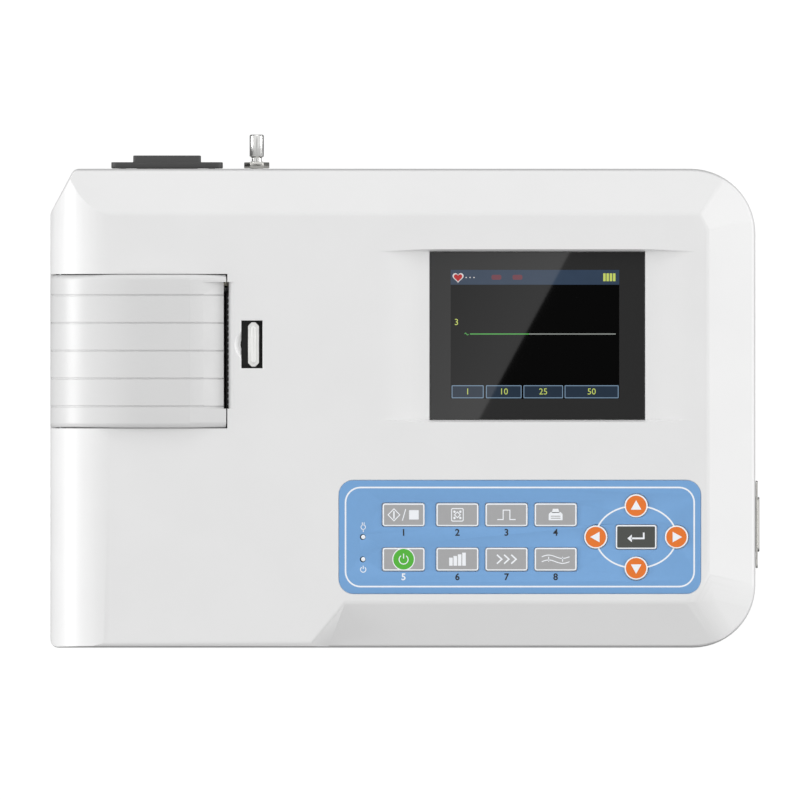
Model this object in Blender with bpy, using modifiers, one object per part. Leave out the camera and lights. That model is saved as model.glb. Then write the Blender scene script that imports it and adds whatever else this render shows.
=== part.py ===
"""Portable ECG recorder: a flat case with a paper door, a screen and a keypad.

X runs to the right along the front, Y runs from the front to the back, and Z is up.
The origin is on the bench, under the middle of the whole object.
"""

import math

import bmesh
import bpy
from mathutils import Matrix, Vector

MM = 0.001

# Fits that every piece shares
FIT = 0.3 * MM  # gap between pieces that meet
OVERRUN = 3.0 * MM  # how far a cutter runs past what it cuts
EMBED = 1.0 * MM  # how deep a rib or boss is rooted in its wall
WELD = 0.001 * MM  # distance within which points are one
ARC_SAG = 0.05 * MM  # how far a facet of an arc may stand off the true arc
ROUND_SIDES = 20
FINE_SIDES = 24
LARGE_SIDES = 36
SMALL_SIDES = 12
POST_SIDES = 8
NUT_SIDES = 6
SMOOTH_BELOW = math.radians(35)  # edges that turn less than this are shaded smooth

# Case
CASE_WIDTH = 315.0 * MM
CASE_DEPTH = 214.0 * MM
DECK_HEIGHT = 73.0 * MM
WALL = 2.5 * MM
PARTING_HEIGHT = 38.0 * MM
LIP_HEIGHT = 3.0 * MM
STUD_REACH = 15.4 * MM  # the earth stud is the rearmost point
SOCKET_REACH = 2.0 * MM  # the patient socket is the rightmost point
FRONT_LEFT_RADIUS = 3.5 * MM
FRONT_RIGHT_RADIUS = 28.0 * MM
BACK_RIGHT_RADIUS = 29.0 * MM
BACK_LEFT_CUT_WIDTH = 10.5 * MM
BACK_LEFT_CUT_DEPTH = 19.8 * MM
BACK_LEFT_RADIUS = 3.5 * MM
LEFT_ROUND = 27.0 * MM  # large round along the top left edge
FRONT_ROUND = 3.5 * MM  # small round along the top front edge
BACK_BAND = 20.3 * MM  # width of the sloping band along the back
RIGHT_BAND = 21.4 * MM
FRONT_BAND = 20.5 * MM
BAND_DROP = 9.0 * MM
CORNER_FACET = 7.2 * MM  # small facets where the bands meet
CORNER_FACET_REST = 3.6 * MM
STEP_TOP_FRONT = 114.7 * MM  # left end of the front band, from the left side
STEP_FOOT_FRONT = 124.0 * MM
STEP_TOP_BACK = 131.9 * MM
UNDER_CHAMFER = 1.5 * MM  # along the lower edge of the case

# Feet and case screws
FOOT_RADIUS = 8.0 * MM
FOOT_HEIGHT = 3.0 * MM
FOOT_SEAT = 1.2 * MM
FOOT_INSET = 30.0 * MM
SCREW_LEFT_INSET = 9.0 * MM
SCREW_RIGHT_INSET = 16.0 * MM
SCREW_HEAD_RADIUS = 2.8 * MM
SCREW_HEAD_HEIGHT = 2.0 * MM
SCREW_RADIUS = 1.5 * MM
SCREW_BITE = 9.0 * MM
SCREW_SINK = 8.0 * MM
BOSS_RADIUS = 4.2 * MM

# Paper door
DOOR_LENGTH = 78.7 * MM
DOOR_FRONT = 98.3 * MM  # front edge of the door, from the front of the case
DOOR_WIDTH = 68.3 * MM
DOOR_THICKNESS = 1.6 * MM
DOOR_CROWN_X = 40.0 * MM
DOOR_CROWN_HEIGHT = 77.0 * MM
DOOR_KINK_X = 62.6 * MM
DOOR_KINK_DROP = 1.0 * MM  # from the crown down to the kink
DOOR_KINK_HEIGHT = DOOR_CROWN_HEIGHT - DOOR_KINK_DROP
DOOR_EDGE_ROUND = 2.4 * MM
DOOR_SKIRT = 6.0 * MM
DOOR_END_GAP = 0.5 * MM
DOOR_ARC_STEPS = 12
DOOR_TOP_STEPS = 4
DOOR_EDGE_STEPS = 3
GROOVE_COUNT = 5
GROOVE_PITCH = 12.4 * MM
GROOVE_WIDTH = 1.0 * MM
GROOVE_DEPTH = 0.5 * MM
GROOVE_FIRST = 9.5 * MM  # first groove, from the door's front edge
HINGE_INSET = 5.5 * MM
HINGE_BARREL_RADIUS = 5.5 * MM
HINGE_ROD_RADIUS = 1.5 * MM
HINGE_ROD_HOLD_share = 0.75  # share of each lug that the rod goes into
HINGE_LUG = 4.5 * MM
HINGE_LUG_HEIGHT = 13.0 * MM

# Paper slot
SLOT_INSET = 8.5 * MM  # front end of the slot, from the door's front edge
SLOT_WIDTH = 56.5 * MM
SLOT_GAP = 2.2 * MM
SLOT_SETBACK = 1.1 * MM
SLOT_LIP_ROUND = 3.0 * MM
SLOT_LIP_DEPTH = 5.0 * MM
RAMP_LENGTH = 9.3 * MM
RAMP_DEPTH = 2.5 * MM

# Paper roll and its well
PAPER_WIDTH = 50.0 * MM
ROLL_X = 40.0 * MM
ROLL_HEIGHT = 46.0 * MM
ROLL_RADIUS = 22.0 * MM
CORE_RADIUS = 8.5 * MM
CORE_WALL = 1.0 * MM
SPINDLE_END_RADIUS = 2.8 * MM
WELL_WALL = 1.5 * MM
WELL_LEFT = 13.5 * MM
WELL_LENGTH = 51.5 * MM
WELL_FLOOR = 20.0 * MM
WELL_TOP = 60.0 * MM
WELL_CLEARANCE = 1.5 * MM  # between the roll's ends and the walls
WELL_POST_INSET = 6.0 * MM
POST_RADIUS = 3.5 * MM

# Platen, on the door
PLATEN_X = 73.5 * MM
PLATEN_HEIGHT = 63.0 * MM
PLATEN_RADIUS = 5.0 * MM
PLATEN_LENGTH = 52.0 * MM
PLATEN_SHAFT_RADIUS = 2.0 * MM
BRACKET_THICKNESS = 2.0 * MM
BRACKET_GAP = 0.9 * MM
BRACKET_RADIUS = 4.5 * MM

# Gear train
GEAR_MODULE = 0.8 * MM
GEAR_WIDTH = 2.6 * MM
GEAR_BACKLASH = 0.35 * MM
PLATEN_TEETH = 14
IDLER_TEETH = 20
PINION_TEETH = 12
ADDENDUM_share = 0.8
DEDENDUM_share = 1.1
PRESSURE_ANGLE = math.radians(20.0)
FLANK_POINTS = 4
PINION_LEAN = math.radians(-84.0)
IDLER_AXLE_RADIUS = 1.5 * MM
MOTOR_RADIUS = 9.0 * MM
MOTOR_LENGTH = 18.0 * MM
MOTOR_SHAFT_RADIUS = 1.2 * MM
MOTOR_COLLAR_RADIUS = 3.0 * MM

# Print head and the frame that carries it
HEAD_THICKNESS = 1.0 * MM
HEAD_HEIGHT = 10.0 * MM
HEAD_RISE = 3.0 * MM  # top of the head above the platen's axis
SINK_THICKNESS = 3.0 * MM
SINK_HEIGHT = 16.0 * MM
SINK_PIN_RADIUS = 1.2 * MM
SINK_PIN_RISE = 3.0 * MM
HEAD_SPRING_RADIUS = 2.2 * MM
HEAD_SPRING_WALL = 0.6 * MM
HEAD_SPRING_SPACING = 27.0 * MM
HEAD_SPRING_DROP = 3.0 * MM
FRAME_THICKNESS = 1.6 * MM
FRAME_LENGTH = 22.0 * MM
FRAME_BASE = 20.0 * MM
FRAME_SIDE_TOP = 56.0 * MM
TEAR_BAR_THICKNESS = 1.0 * MM
TEAR_BAR_DEPTH = 3.4 * MM
TEAR_TOOTH_PITCH = 2.5 * MM
TEAR_TOOTH_DEPTH = 0.8 * MM
TEAR_BAR_REACH = 0.5 * MM

# Latch
WINDOW_LEFT = 85.4 * MM
WINDOW_FRONT = 124.8 * MM
WINDOW_WIDTH = 9.5 * MM
WINDOW_LENGTH = 21.3 * MM
LEVER_OFFSET = 3.0 * MM  # lever's left side, from the window's left side
LEVER_WIDTH = 4.9 * MM
LEVER_LENGTH = 19.8 * MM
LEVER_CHAMFER = 1.6 * MM
LEVER_SINK = 1.2 * MM  # lever's shoulder below the deck
RIDGE_WIDTH = 2.2 * MM
RIDGE_HEIGHT = 0.9 * MM
LATCH_STEM_WIDTH = 2.4 * MM
LATCH_STEM_LENGTH = 12.0 * MM
LATCH_PLATE_TOP = 66.0 * MM
LATCH_PLATE_THICKNESS = 2.0 * MM
LATCH_PLATE_LEFT = 84.0 * MM
LATCH_PLATE_WIDTH = 13.0 * MM
LATCH_ARM_WIDTH = 1.8 * MM
LATCH_ARM_HEIGHT = 4.5 * MM
LATCH_FINGER_WIDTH = 1.0 * MM
LATCH_FINGER_LENGTH = 4.0 * MM
DIMPLE_RADIUS = 10.0 * MM
DIMPLE_MOUTH = 8.05 * MM  # radius of the dimple at the deck
DIMPLE_REACH = 3.1 * MM  # dimple's left end, from the window
DIMPLE_TURNS = 32
DIMPLE_RINGS = 20

# Screen
LENS_RIGHT_MARGIN = 49.7 * MM  # from the lens to the right side of the case
LENS_FRONT = 102.0 * MM
LENS_WIDTH = 95.7 * MM
LENS_LEFT = CASE_WIDTH - LENS_RIGHT_MARGIN - LENS_WIDTH
LENS_LENGTH = 74.7 * MM
LENS_THICKNESS = 1.5 * MM
RECESS_DEPTH = 3.0 * MM
RECESS_RAMP = 23.2 * MM
RECESS_DRAFT_share = 0.3
RECESS_STEPS = 8
LEDGE = 1.6 * MM
LEDGE_MARGIN = 4.0 * MM
SCREEN_LEFT_MARGIN = 9.2 * MM  # lens edge to the lit area
SCREEN_FRONT_MARGIN = 9.2 * MM
SCREEN_WIDTH = 75.2 * MM
SCREEN_LENGTH = 57.5 * MM
SCREEN_MODULE_BORDER = 5.0 * MM
SCREEN_MODULE_THICKNESS = 6.0 * MM

# Keypad
PANEL_RIGHT_MARGIN = 24.9 * MM  # from the panel to the right side of the case
PANEL_FRONT = 24.5 * MM
PANEL_WIDTH = 160.9 * MM
PANEL_LEFT = CASE_WIDTH - PANEL_RIGHT_MARGIN - PANEL_WIDTH
PANEL_LENGTH = 50.1 * MM
PANEL_RADIUS = 6.3 * MM
PANEL_THICKNESS = 1.2 * MM
PANEL_LEDGE = 4.0 * MM
KEY_WIDTH_share = 0.11622  # of the panel, as the next shares across it are
KEY_WIDTH = PANEL_WIDTH * KEY_WIDTH_share
KEY_LENGTH = 10.2 * MM
KEY_RADIUS = 1.0 * MM
KEY_GAP = 0.25 * MM
KEY_RISE = 0.3 * MM
KEY_TRAVEL = 0.5 * MM
KEY_FLANGE = 0.8 * MM
KEY_FIRST_share = 0.17775
KEY_FIRST = PANEL_WIDTH * KEY_FIRST_share  # first column of keys, from the panel's left side
KEY_WIDE_PITCH_share = 0.14916
KEY_WIDE_PITCH = PANEL_WIDTH * KEY_WIDE_PITCH_share
KEY_PITCH_share = 0.13611
KEY_PITCH = PANEL_WIDTH * KEY_PITCH_share
KEY_ROW_PITCH = 19.8 * MM
ARROW_CENTRE_share = 0.82225
ARROW_CENTRE = PANEL_WIDTH * ARROW_CENTRE_share  # from the panel's left side
ARROW_RADIUS = 5.2 * MM
ARROW_SPREAD_share = 0.11187
ARROW_SPREAD_X = PANEL_WIDTH * ARROW_SPREAD_share
ARROW_SPREAD_Y = 13.9 * MM
SET_WIDTH_share = 0.11249
SET_WIDTH = PANEL_WIDTH * SET_WIDTH_share
SET_LENGTH = 10.7 * MM
LIGHT_X_share = 0.06588
LIGHT_X = PANEL_WIDTH * LIGHT_X_share  # both lights, from the panel's left side
LIGHT_RADIUS = 1.0 * MM
BOARD_THICKNESS = 1.6 * MM
KEY_BOARD_MARGIN = 1.5 * MM  # past the panel's opening on every side

# Boards and battery in the lower case
MAIN_BOARD_LEFT = 130.0 * MM
MAIN_BOARD_FRONT = 22.0 * MM
MAIN_BOARD_RIGHT_MARGIN = 35.0 * MM  # from the board to the right side of the case
MAIN_BOARD_WIDTH = CASE_WIDTH - MAIN_BOARD_LEFT - MAIN_BOARD_RIGHT_MARGIN
MAIN_BOARD_LENGTH = 105.0 * MM
MAIN_BOARD_HEIGHT = 14.0 * MM
CHIP_SIZE = 18.0 * MM
CHIP_HEIGHT = 2.5 * MM
POWER_BOARD_LEFT = 105.0 * MM
POWER_BOARD_FRONT = 145.0 * MM
POWER_BOARD_WIDTH = 110.0 * MM
POWER_BOARD_LENGTH = 55.0 * MM
TRANSFORMER_WIDTH = 32.0 * MM
TRANSFORMER_LENGTH = 28.0 * MM
TRANSFORMER_HEIGHT = 22.0 * MM
CAPACITOR_RADIUS = 8.0 * MM
CAPACITOR_HEIGHT = 24.0 * MM
BOARD_POST_INSET = 6.0 * MM
BATTERY_LEFT = 20.0 * MM
BATTERY_FRONT = 20.0 * MM
BATTERY_WIDTH = 92.0 * MM
BATTERY_LENGTH = 60.0 * MM
BATTERY_HEIGHT = 20.0 * MM
BATTERY_RADIUS = 4.0 * MM

# Mains inlet
INLET_X = 52.0 * MM
PORT_HEIGHT = 21.0 * MM
INLET_FLANGE_WIDTH = 49.8 * MM
INLET_FLANGE_HEIGHT = 24.0 * MM
INLET_FLANGE_THICKNESS = 3.0 * MM
INLET_FLANGE_RADIUS = 3.0 * MM
INLET_NOSE_WIDTH = 30.2 * MM
INLET_NOSE_HEIGHT = 22.0 * MM
INLET_NOSE_DEPTH = 3.0 * MM
INLET_BODY_WIDTH = 27.0 * MM
INLET_BODY_HEIGHT = 19.8 * MM
INLET_BODY_DEPTH = 20.0 * MM
INLET_MOUTH_WIDTH = 24.4 * MM
INLET_MOUTH_HEIGHT = 16.4 * MM
INLET_MOUTH_DEPTH = 17.0 * MM
INLET_MOUTH_CUT = 4.5 * MM
INLET_SCREW_SPACING = 40.0 * MM
INLET_SCREW_LENGTH = 7.0 * MM
SUNK_DEPTH = 0.2 * MM  # how far a countersunk head lies below the face round it
SUNK_RIM = 0.3 * MM
PIN_WIDTH = 2.0 * MM
PIN_HEIGHT = 4.0 * MM
PIN_LENGTH = 13.0 * MM
PIN_SPACING = 7.0 * MM
PIN_OFFSET = 2.0 * MM

# Earth stud
STUD_X = 92.1 * MM
STUD_PIN_RADIUS = 3.2 * MM
STUD_NECK_RADIUS = 2.2 * MM
STUD_NECK_LENGTH = 1.8 * MM
STUD_THREAD_RADIUS = 2.8 * MM
STUD_INNER_LENGTH = 8.0 * MM
STUD_CHAMFER = 0.6 * MM
STUD_NUT_WIDTH = 11.4 * MM
STUD_NUT_THICKNESS = 3.0 * MM

# Patient socket
SOCKET_Y = 55.0 * MM
SOCKET_FLANGE_LENGTH = 39.1 * MM
SOCKET_FLANGE_HEIGHT = 12.5 * MM
SOCKET_FLANGE_THICKNESS = 0.9 * MM
SOCKET_FLANGE_RADIUS = 2.0 * MM
SOCKET_SHELL_LENGTH = 25.0 * MM
SOCKET_SHELL_HEIGHT = 8.4 * MM
SOCKET_SHELL_RADIUS = 2.0 * MM
SOCKET_SHELL_TAPER = 1.2 * MM
SOCKET_SHELL_WALL = 0.6 * MM
SOCKET_INNER_DEPTH = 9.0 * MM
SOCKET_SINK = 0.8 * MM
CONTACT_RADIUS = 0.55 * MM
CONTACT_PITCH = 2.76 * MM
CONTACT_ROW_PITCH = 2.84 * MM
CONTACT_SIDES = 6
LONG_ROW_COUNT = 8

# Places that follow from the values above
LEFT = -(CASE_WIDTH + SOCKET_REACH) / 2
RIGHT = LEFT + CASE_WIDTH
FRONT = -(CASE_DEPTH + STUD_REACH) / 2
BACK = FRONT + CASE_DEPTH
CASE_BOTTOM = FOOT_HEIGHT
FLOOR_TOP = CASE_BOTTOM + WALL
ROOF = DECK_HEIGHT - WALL
HINGE_X = LEFT + HINGE_INSET
HINGE_Z = PARTING_HEIGHT + FIT + HINGE_BARREL_RADIUS
DOOR_LOW = FRONT + DOOR_FRONT
DOOR_HIGH = DOOR_LOW + DOOR_WIDTH
DOOR_MIDDLE = (DOOR_LOW + DOOR_HIGH) / 2
DOOR_END = LEFT + DOOR_LENGTH
SLOT_LOW = DOOR_LOW + SLOT_INSET
SLOT_HIGH = SLOT_LOW + SLOT_WIDTH
SLOT_LEFT = DOOR_END - SLOT_SETBACK
SLOT_RIGHT = SLOT_LEFT + SLOT_GAP
PLATEN_AXIS_X = LEFT + PLATEN_X
PLATEN_LOW = DOOR_MIDDLE - PLATEN_LENGTH / 2
PLATEN_HIGH = DOOR_MIDDLE + PLATEN_LENGTH / 2
FRONT_BRACKET_LOW = PLATEN_LOW - BRACKET_GAP - BRACKET_THICKNESS
BACK_BRACKET_HIGH = PLATEN_HIGH + BRACKET_GAP + BRACKET_THICKNESS
GEAR_LOW = BACK_BRACKET_HIGH + FIT
GEAR_HIGH = GEAR_LOW + GEAR_WIDTH
HEAD_LEFT = PLATEN_AXIS_X + PLATEN_RADIUS + FIT
HEAD_TOP = PLATEN_HEIGHT + HEAD_RISE
SINK_LEFT = HEAD_LEFT + HEAD_THICKNESS + FIT
SINK_RIGHT = SINK_LEFT + SINK_THICKNESS
FRAME_RIGHT = LEFT + LATCH_PLATE_LEFT + FRAME_THICKNESS + FRAME_LENGTH / 4
FRAME_LEFT = FRAME_RIGHT - FRAME_LENGTH
FRAME_WALL_LEFT = FRAME_RIGHT - FRAME_THICKNESS
FRAME_INNER_LOW = PLATEN_LOW - BRACKET_GAP
FRAME_INNER_HIGH = PLATEN_HIGH + BRACKET_GAP
FRAME_LOW = FRAME_INNER_LOW - FRAME_THICKNESS
FRAME_HIGH = FRAME_INNER_HIGH + FRAME_THICKNESS
LATCH_PLATE_BOTTOM = LATCH_PLATE_TOP - LATCH_PLATE_THICKNESS
FRAME_WALL_TOP = LATCH_PLATE_BOTTOM - FIT
LENS_TOP = DECK_HEIGHT - RECESS_DEPTH
LENS_BOTTOM = LENS_TOP - LENS_THICKNESS
LENS_LEDGE_TOP = LENS_BOTTOM - FIT
LENS_LEDGE_BOTTOM = LENS_LEDGE_TOP - LEDGE
PANEL_TOP = DECK_HEIGHT
PANEL_BOTTOM = PANEL_TOP - PANEL_THICKNESS
PANEL_X = LEFT + PANEL_LEFT
PANEL_Y = FRONT + PANEL_FRONT
PANEL_MIDDLE_Y = PANEL_Y + PANEL_LENGTH / 2
KEY_BOARD_TOP = ROOF - FIT
KEY_BOTTOM = KEY_BOARD_TOP + KEY_TRAVEL + FIT
PORT_Z = PORT_HEIGHT

FINISHES = {
    "white": ((0.86, 0.86, 0.86, 1.0), 0.45, 0.0),
    "black": ((0.02, 0.02, 0.02, 1.0), 0.45, 0.0),
    "charcoal": ((0.06, 0.06, 0.06, 1.0), 0.5, 0.0),
    "glass": ((0.03, 0.03, 0.035, 1.0), 0.08, 0.0),
    "blue": ((0.18, 0.36, 0.62, 1.0), 0.4, 0.0),
    "grey": ((0.38, 0.38, 0.38, 1.0), 0.4, 0.0),
    "orange": ((0.80, 0.21, 0.02, 1.0), 0.4, 0.0),
    "green": ((0.07, 0.42, 0.05, 1.0), 0.4, 0.0),
    "lamp": ((0.75, 0.82, 0.90, 1.0), 0.3, 0.0),
    "steel": ((0.60, 0.60, 0.62, 1.0), 0.3, 1.0),
    "nickel": ((0.75, 0.73, 0.70, 1.0), 0.2, 1.0),
    "aluminium": ((0.70, 0.71, 0.72, 1.0), 0.4, 1.0),
    "acetal": ((0.80, 0.79, 0.74, 1.0), 0.4, 0.0),
    "rubber": ((0.03, 0.03, 0.03, 1.0), 0.8, 0.0),
    "paper": ((0.85, 0.83, 0.80, 1.0), 0.8, 0.0),
    "card": ((0.45, 0.33, 0.22, 1.0), 0.85, 0.0),
    "board": ((0.02, 0.18, 0.07, 1.0), 0.5, 0.0),
    "wrap": ((0.05, 0.12, 0.35, 1.0), 0.5, 0.0),
}

PLANES = {
    "XY": Matrix(((1, 0, 0), (0, 1, 0), (0, 0, 1))).to_4x4(),
    "XZ": Matrix(((1, 0, 0), (0, 0, -1), (0, 1, 0))).to_4x4(),
    "YZ": Matrix(((0, 0, 1), (1, 0, 0), (0, 1, 0))).to_4x4(),
}
PLANE_NORMALS = {
    "XY": Vector((0, 0, 1)),
    "XZ": Vector((0, 1, 0)),
    "YZ": Vector((1, 0, 0)),
}


def clear_scene():
    """Remove what the file holds, and make the two collections."""
    for old in list(bpy.data.objects):
        bpy.data.objects.remove(old, do_unlink=True)
    made = []
    for name in ("ecg_recorder", "cutters"):
        collection = bpy.data.collections.new(name)
        bpy.context.scene.collection.children.link(collection)
        made.append(collection)
    return made


PARTS, CUTTERS = clear_scene()


def tool(name, mesh):
    """Add a mesh as a construction object, which is no part until it is named one."""
    made = bpy.data.objects.new(name, mesh)
    CUTTERS.objects.link(made)
    made.hide_render = True
    made.display_type = "WIRE"
    return made


def part(name, made, finish, pivot=None):
    """Turn a construction object into a finished part with its own material."""
    CUTTERS.objects.unlink(made)
    PARTS.objects.link(made)
    made.name = name
    made.data.name = name
    made.hide_render = False
    made.display_type = "TEXTURED"
    colour, roughness, metallic = FINISHES[finish]
    material = bpy.data.materials.new(name + "_finish")
    material.use_nodes = True
    shader = material.node_tree.nodes["Principled BSDF"]
    shader.inputs["Base Color"].default_value = colour
    shader.inputs["Roughness"].default_value = roughness
    shader.inputs["Metallic"].default_value = metallic
    made.data.materials.clear()
    made.data.materials.append(material)
    if pivot is not None:
        made.parent = pivot
        made.matrix_parent_inverse = Matrix.Translation(pivot.location).inverted()
    return made


def axis_empty(name, location):
    """An empty on a joint's axis, which carries the pieces that move on it."""
    empty = bpy.data.objects.new(name, None)
    empty.location = location
    PARTS.objects.link(empty)
    return empty


def box(name, low, high):
    """A block between two opposite corners."""
    low, high = Vector(low), Vector(high)
    mesh = bpy.data.meshes.new(name)
    bm = bmesh.new()
    bmesh.ops.create_cube(bm, size=1.0)
    bmesh.ops.scale(bm, vec=high - low, verts=bm.verts)
    bm.to_mesh(mesh)
    bm.free()
    made = tool(name, mesh)
    made.location = (low + high) / 2
    return made


def cylinder(name, radius, start, end, sides=ROUND_SIDES, end_radius=None):
    """A cylinder, or a cone, between the centres of its two ends."""
    start, end = Vector(start), Vector(end)
    mesh = bpy.data.meshes.new(name)
    bm = bmesh.new()
    bmesh.ops.create_cone(
        bm,
        cap_ends=True,
        segments=sides,
        radius1=radius,
        radius2=radius if end_radius is None else end_radius,
        depth=(end - start).length,
    )
    bm.to_mesh(mesh)
    bm.free()
    mesh.shade_smooth()
    mesh.set_sharp_from_angle(angle=SMOOTH_BELOW)
    made = tool(name, mesh)
    made.rotation_mode = "QUATERNION"
    made.rotation_quaternion = (end - start).to_track_quat("Z", "Y")
    made.location = (start + end) / 2
    return made


def plate(name, loops, low, high, plane="XY"):
    """A flat outline with holes, made solid between two heights across its plane."""
    curve = bpy.data.curves.new(name, "CURVE")
    curve.dimensions = "2D"
    curve.fill_mode = "BOTH"
    curve.extrude = (high - low) / 2
    for loop in loops:
        spline = curve.splines.new("POLY")
        spline.points.add(len(loop) - 1)
        for point, (u, v) in zip(spline.points, loop):
            point.co = (u, v, 0, 1)
        spline.use_cyclic_u = True
    flat = bpy.data.objects.new(name + "_outline", curve)
    CUTTERS.objects.link(flat)
    flat.matrix_world = Matrix.Translation(PLANE_NORMALS[plane] * (low + high) / 2) @ PLANES[plane]
    bpy.context.view_layer.update()
    evaluated = flat.evaluated_get(bpy.context.evaluated_depsgraph_get())
    mesh = bpy.data.meshes.new_from_object(evaluated)
    mesh.name = name
    bm = bmesh.new()
    bm.from_mesh(mesh)
    bmesh.ops.remove_doubles(bm, verts=bm.verts, dist=WELD)
    bmesh.ops.recalc_face_normals(bm, faces=bm.faces)
    bm.to_mesh(mesh)
    bm.free()
    made = tool(name, mesh)
    made.matrix_world = flat.matrix_world
    bpy.data.objects.remove(flat, do_unlink=True)
    return made


def turned(name, profile, start, direction, steps=ROUND_SIDES):
    """A turned shape: (radius, height) points from its far end down to its start."""
    mesh = bpy.data.meshes.new(name)
    points = [(radius, 0, height) for radius, height in profile]
    mesh.from_pydata(points, [(i, i + 1) for i in range(len(points) - 1)], [])
    made = tool(name, mesh)
    screw = made.modifiers.new("turn", "SCREW")
    screw.steps = steps
    screw.render_steps = steps
    screw.use_merge_vertices = True
    screw.merge_threshold = WELD
    made.rotation_mode = "QUATERNION"
    made.rotation_quaternion = Vector(direction).to_track_quat("Z", "Y")
    made.location = start
    return made


def apply_boolean(target, operation, tools):
    """Add one Boolean modifier for each tool."""
    for item in tools:
        modifier = target.modifiers.new(item.name, "BOOLEAN")
        modifier.operation = operation
        modifier.solver = "EXACT"
        modifier.object = item
    return target


def cut(target, *tools):
    """Take the tools away from the target."""
    return apply_boolean(target, "DIFFERENCE", tools)


def join(target, *tools):
    """Fuse the tools with the target."""
    return apply_boolean(target, "UNION", tools)


def chamfer_lower_edge(upright, width):
    """Chamfer the edge round the lower face of an upright plate."""
    bm = bmesh.new()
    bm.from_mesh(upright.data)
    low = min(vert.co.z for vert in bm.verts)
    caps = [face for face in bm.faces if face.calc_center_median().z < low + WELD]
    cap = bmesh.ops.dissolve_faces(bm, faces=caps)["region"][0]
    bmesh.ops.bevel(bm, geom=cap.edges[:], offset=width, segments=1, affect="EDGES")
    bm.to_mesh(upright.data)
    bm.free()


def arc(centre_u, centre_v, radius, start, end, steps=None):
    """Points along an arc, both ends included; angles are in radians."""
    if steps is None:
        facet = 2 * math.acos(1 - min(ARC_SAG / radius, 0.5))
        steps = max(2, math.ceil(abs(end - start) / facet))
    points = []
    for i in range(steps + 1):
        angle = start + (end - start) * i / steps
        points.append((centre_u + radius * math.cos(angle), centre_v + radius * math.sin(angle)))
    return points


def circle(centre_u, centre_v, radius, sides=ROUND_SIDES):
    """A closed ring of points."""
    return arc(centre_u, centre_v, radius, 0, 2 * math.pi, sides)[:-1]


def rounded(corners):
    """Round each (u, v, radius) corner of an anticlockwise outline."""
    points = []
    for i, (u, v, radius) in enumerate(corners):
        here = Vector((u, v))
        if radius <= WELD:
            points.append((u, v))
            continue
        before = (Vector(corners[i - 1][:2]) - here).normalized()
        after = (Vector(corners[(i + 1) % len(corners)][:2]) - here).normalized()
        half = before.angle(after) / 2
        centre = here + (before + after).normalized() * radius / math.sin(half)
        start = here + before * radius / math.tan(half) - centre
        turn = math.pi - 2 * half
        first = math.atan2(start.y, start.x)
        points.extend(arc(centre.x, centre.y, radius, first, first + turn))
    return points


def drawn_in(corners, inset):
    """Move each side of an anticlockwise outline inwards, and shrink its corner radii."""
    moved = []
    count = len(corners)
    for i in range(count):
        before = Vector(corners[i - 1][:2])
        here = Vector(corners[i][:2])
        after = Vector(corners[(i + 1) % count][:2])
        one = (here - before).normalized()
        two = (after - here).normalized()
        normal_one = Vector((-one.y, one.x))
        normal_two = Vector((-two.y, two.x))
        shift = (normal_one + normal_two) * inset / (1 + normal_one.dot(normal_two))
        moved.append((here.x + shift.x, here.y + shift.y, max(corners[i][2] - inset, inset / 5)))
    return moved


def rectangle(left, front, width, length, radius=0.0):
    """Corners of a rectangle with equal corner radii."""
    return [
        (left, front, radius),
        (left + width, front, radius),
        (left + width, front + length, radius),
        (left, front + length, radius),
    ]


def case_plan():
    """Corners of the case seen from above, anticlockwise from the front left."""
    return [
        (LEFT, FRONT, FRONT_LEFT_RADIUS),
        (RIGHT, FRONT, FRONT_RIGHT_RADIUS),
        (RIGHT, BACK, BACK_RIGHT_RADIUS),
        (LEFT + BACK_LEFT_CUT_WIDTH, BACK, BACK_LEFT_RADIUS),
        (LEFT, BACK - BACK_LEFT_CUT_DEPTH, BACK_LEFT_RADIUS),
    ]


def band_cutter(name, inset, edge, outward, width, plane, low, high):
    """What lies above a sloping band that ends at edge, outward being 1 or -1."""
    slope = BAND_DROP / width
    sink = inset * math.sqrt(1 + slope * slope)
    inner = edge - outward * width
    reach = width + OVERRUN
    outline = [
        (inner - outward * OVERRUN, DECK_HEIGHT - sink + slope * OVERRUN),
        (inner + outward * reach, DECK_HEIGHT - sink - slope * reach),
        (inner + outward * reach, DECK_HEIGHT + BAND_DROP),
        (inner - outward * OVERRUN, DECK_HEIGHT + BAND_DROP),
    ]
    return plate(name, [outline], low, high, plane)


def facet_cutter(name, inset, corner, first, second, width):
    """What lies above the sloping facet between two points of the deck's outline."""
    slope = BAND_DROP / width
    sink = inset * math.sqrt(1 + slope * slope)
    first, second = Vector(first), Vector(second)
    outward = (Vector(corner) - first).normalized()
    along = (second - first).normalized()
    outward = (outward - along * outward.dot(along)).normalized()
    middle = (first + second) / 2
    made = band_cutter(name, 0.0, 0.0, 1, width, "XZ", -CASE_DEPTH / 4, CASE_DEPTH / 4)
    turn = math.atan2(outward.y, outward.x)
    place = Matrix.Translation((middle.x, middle.y, -sink)) @ Matrix.Rotation(turn, 4, "Z")
    made.matrix_world = place @ Matrix.Translation((width, 0, 0)) @ made.matrix_world
    return made


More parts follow.
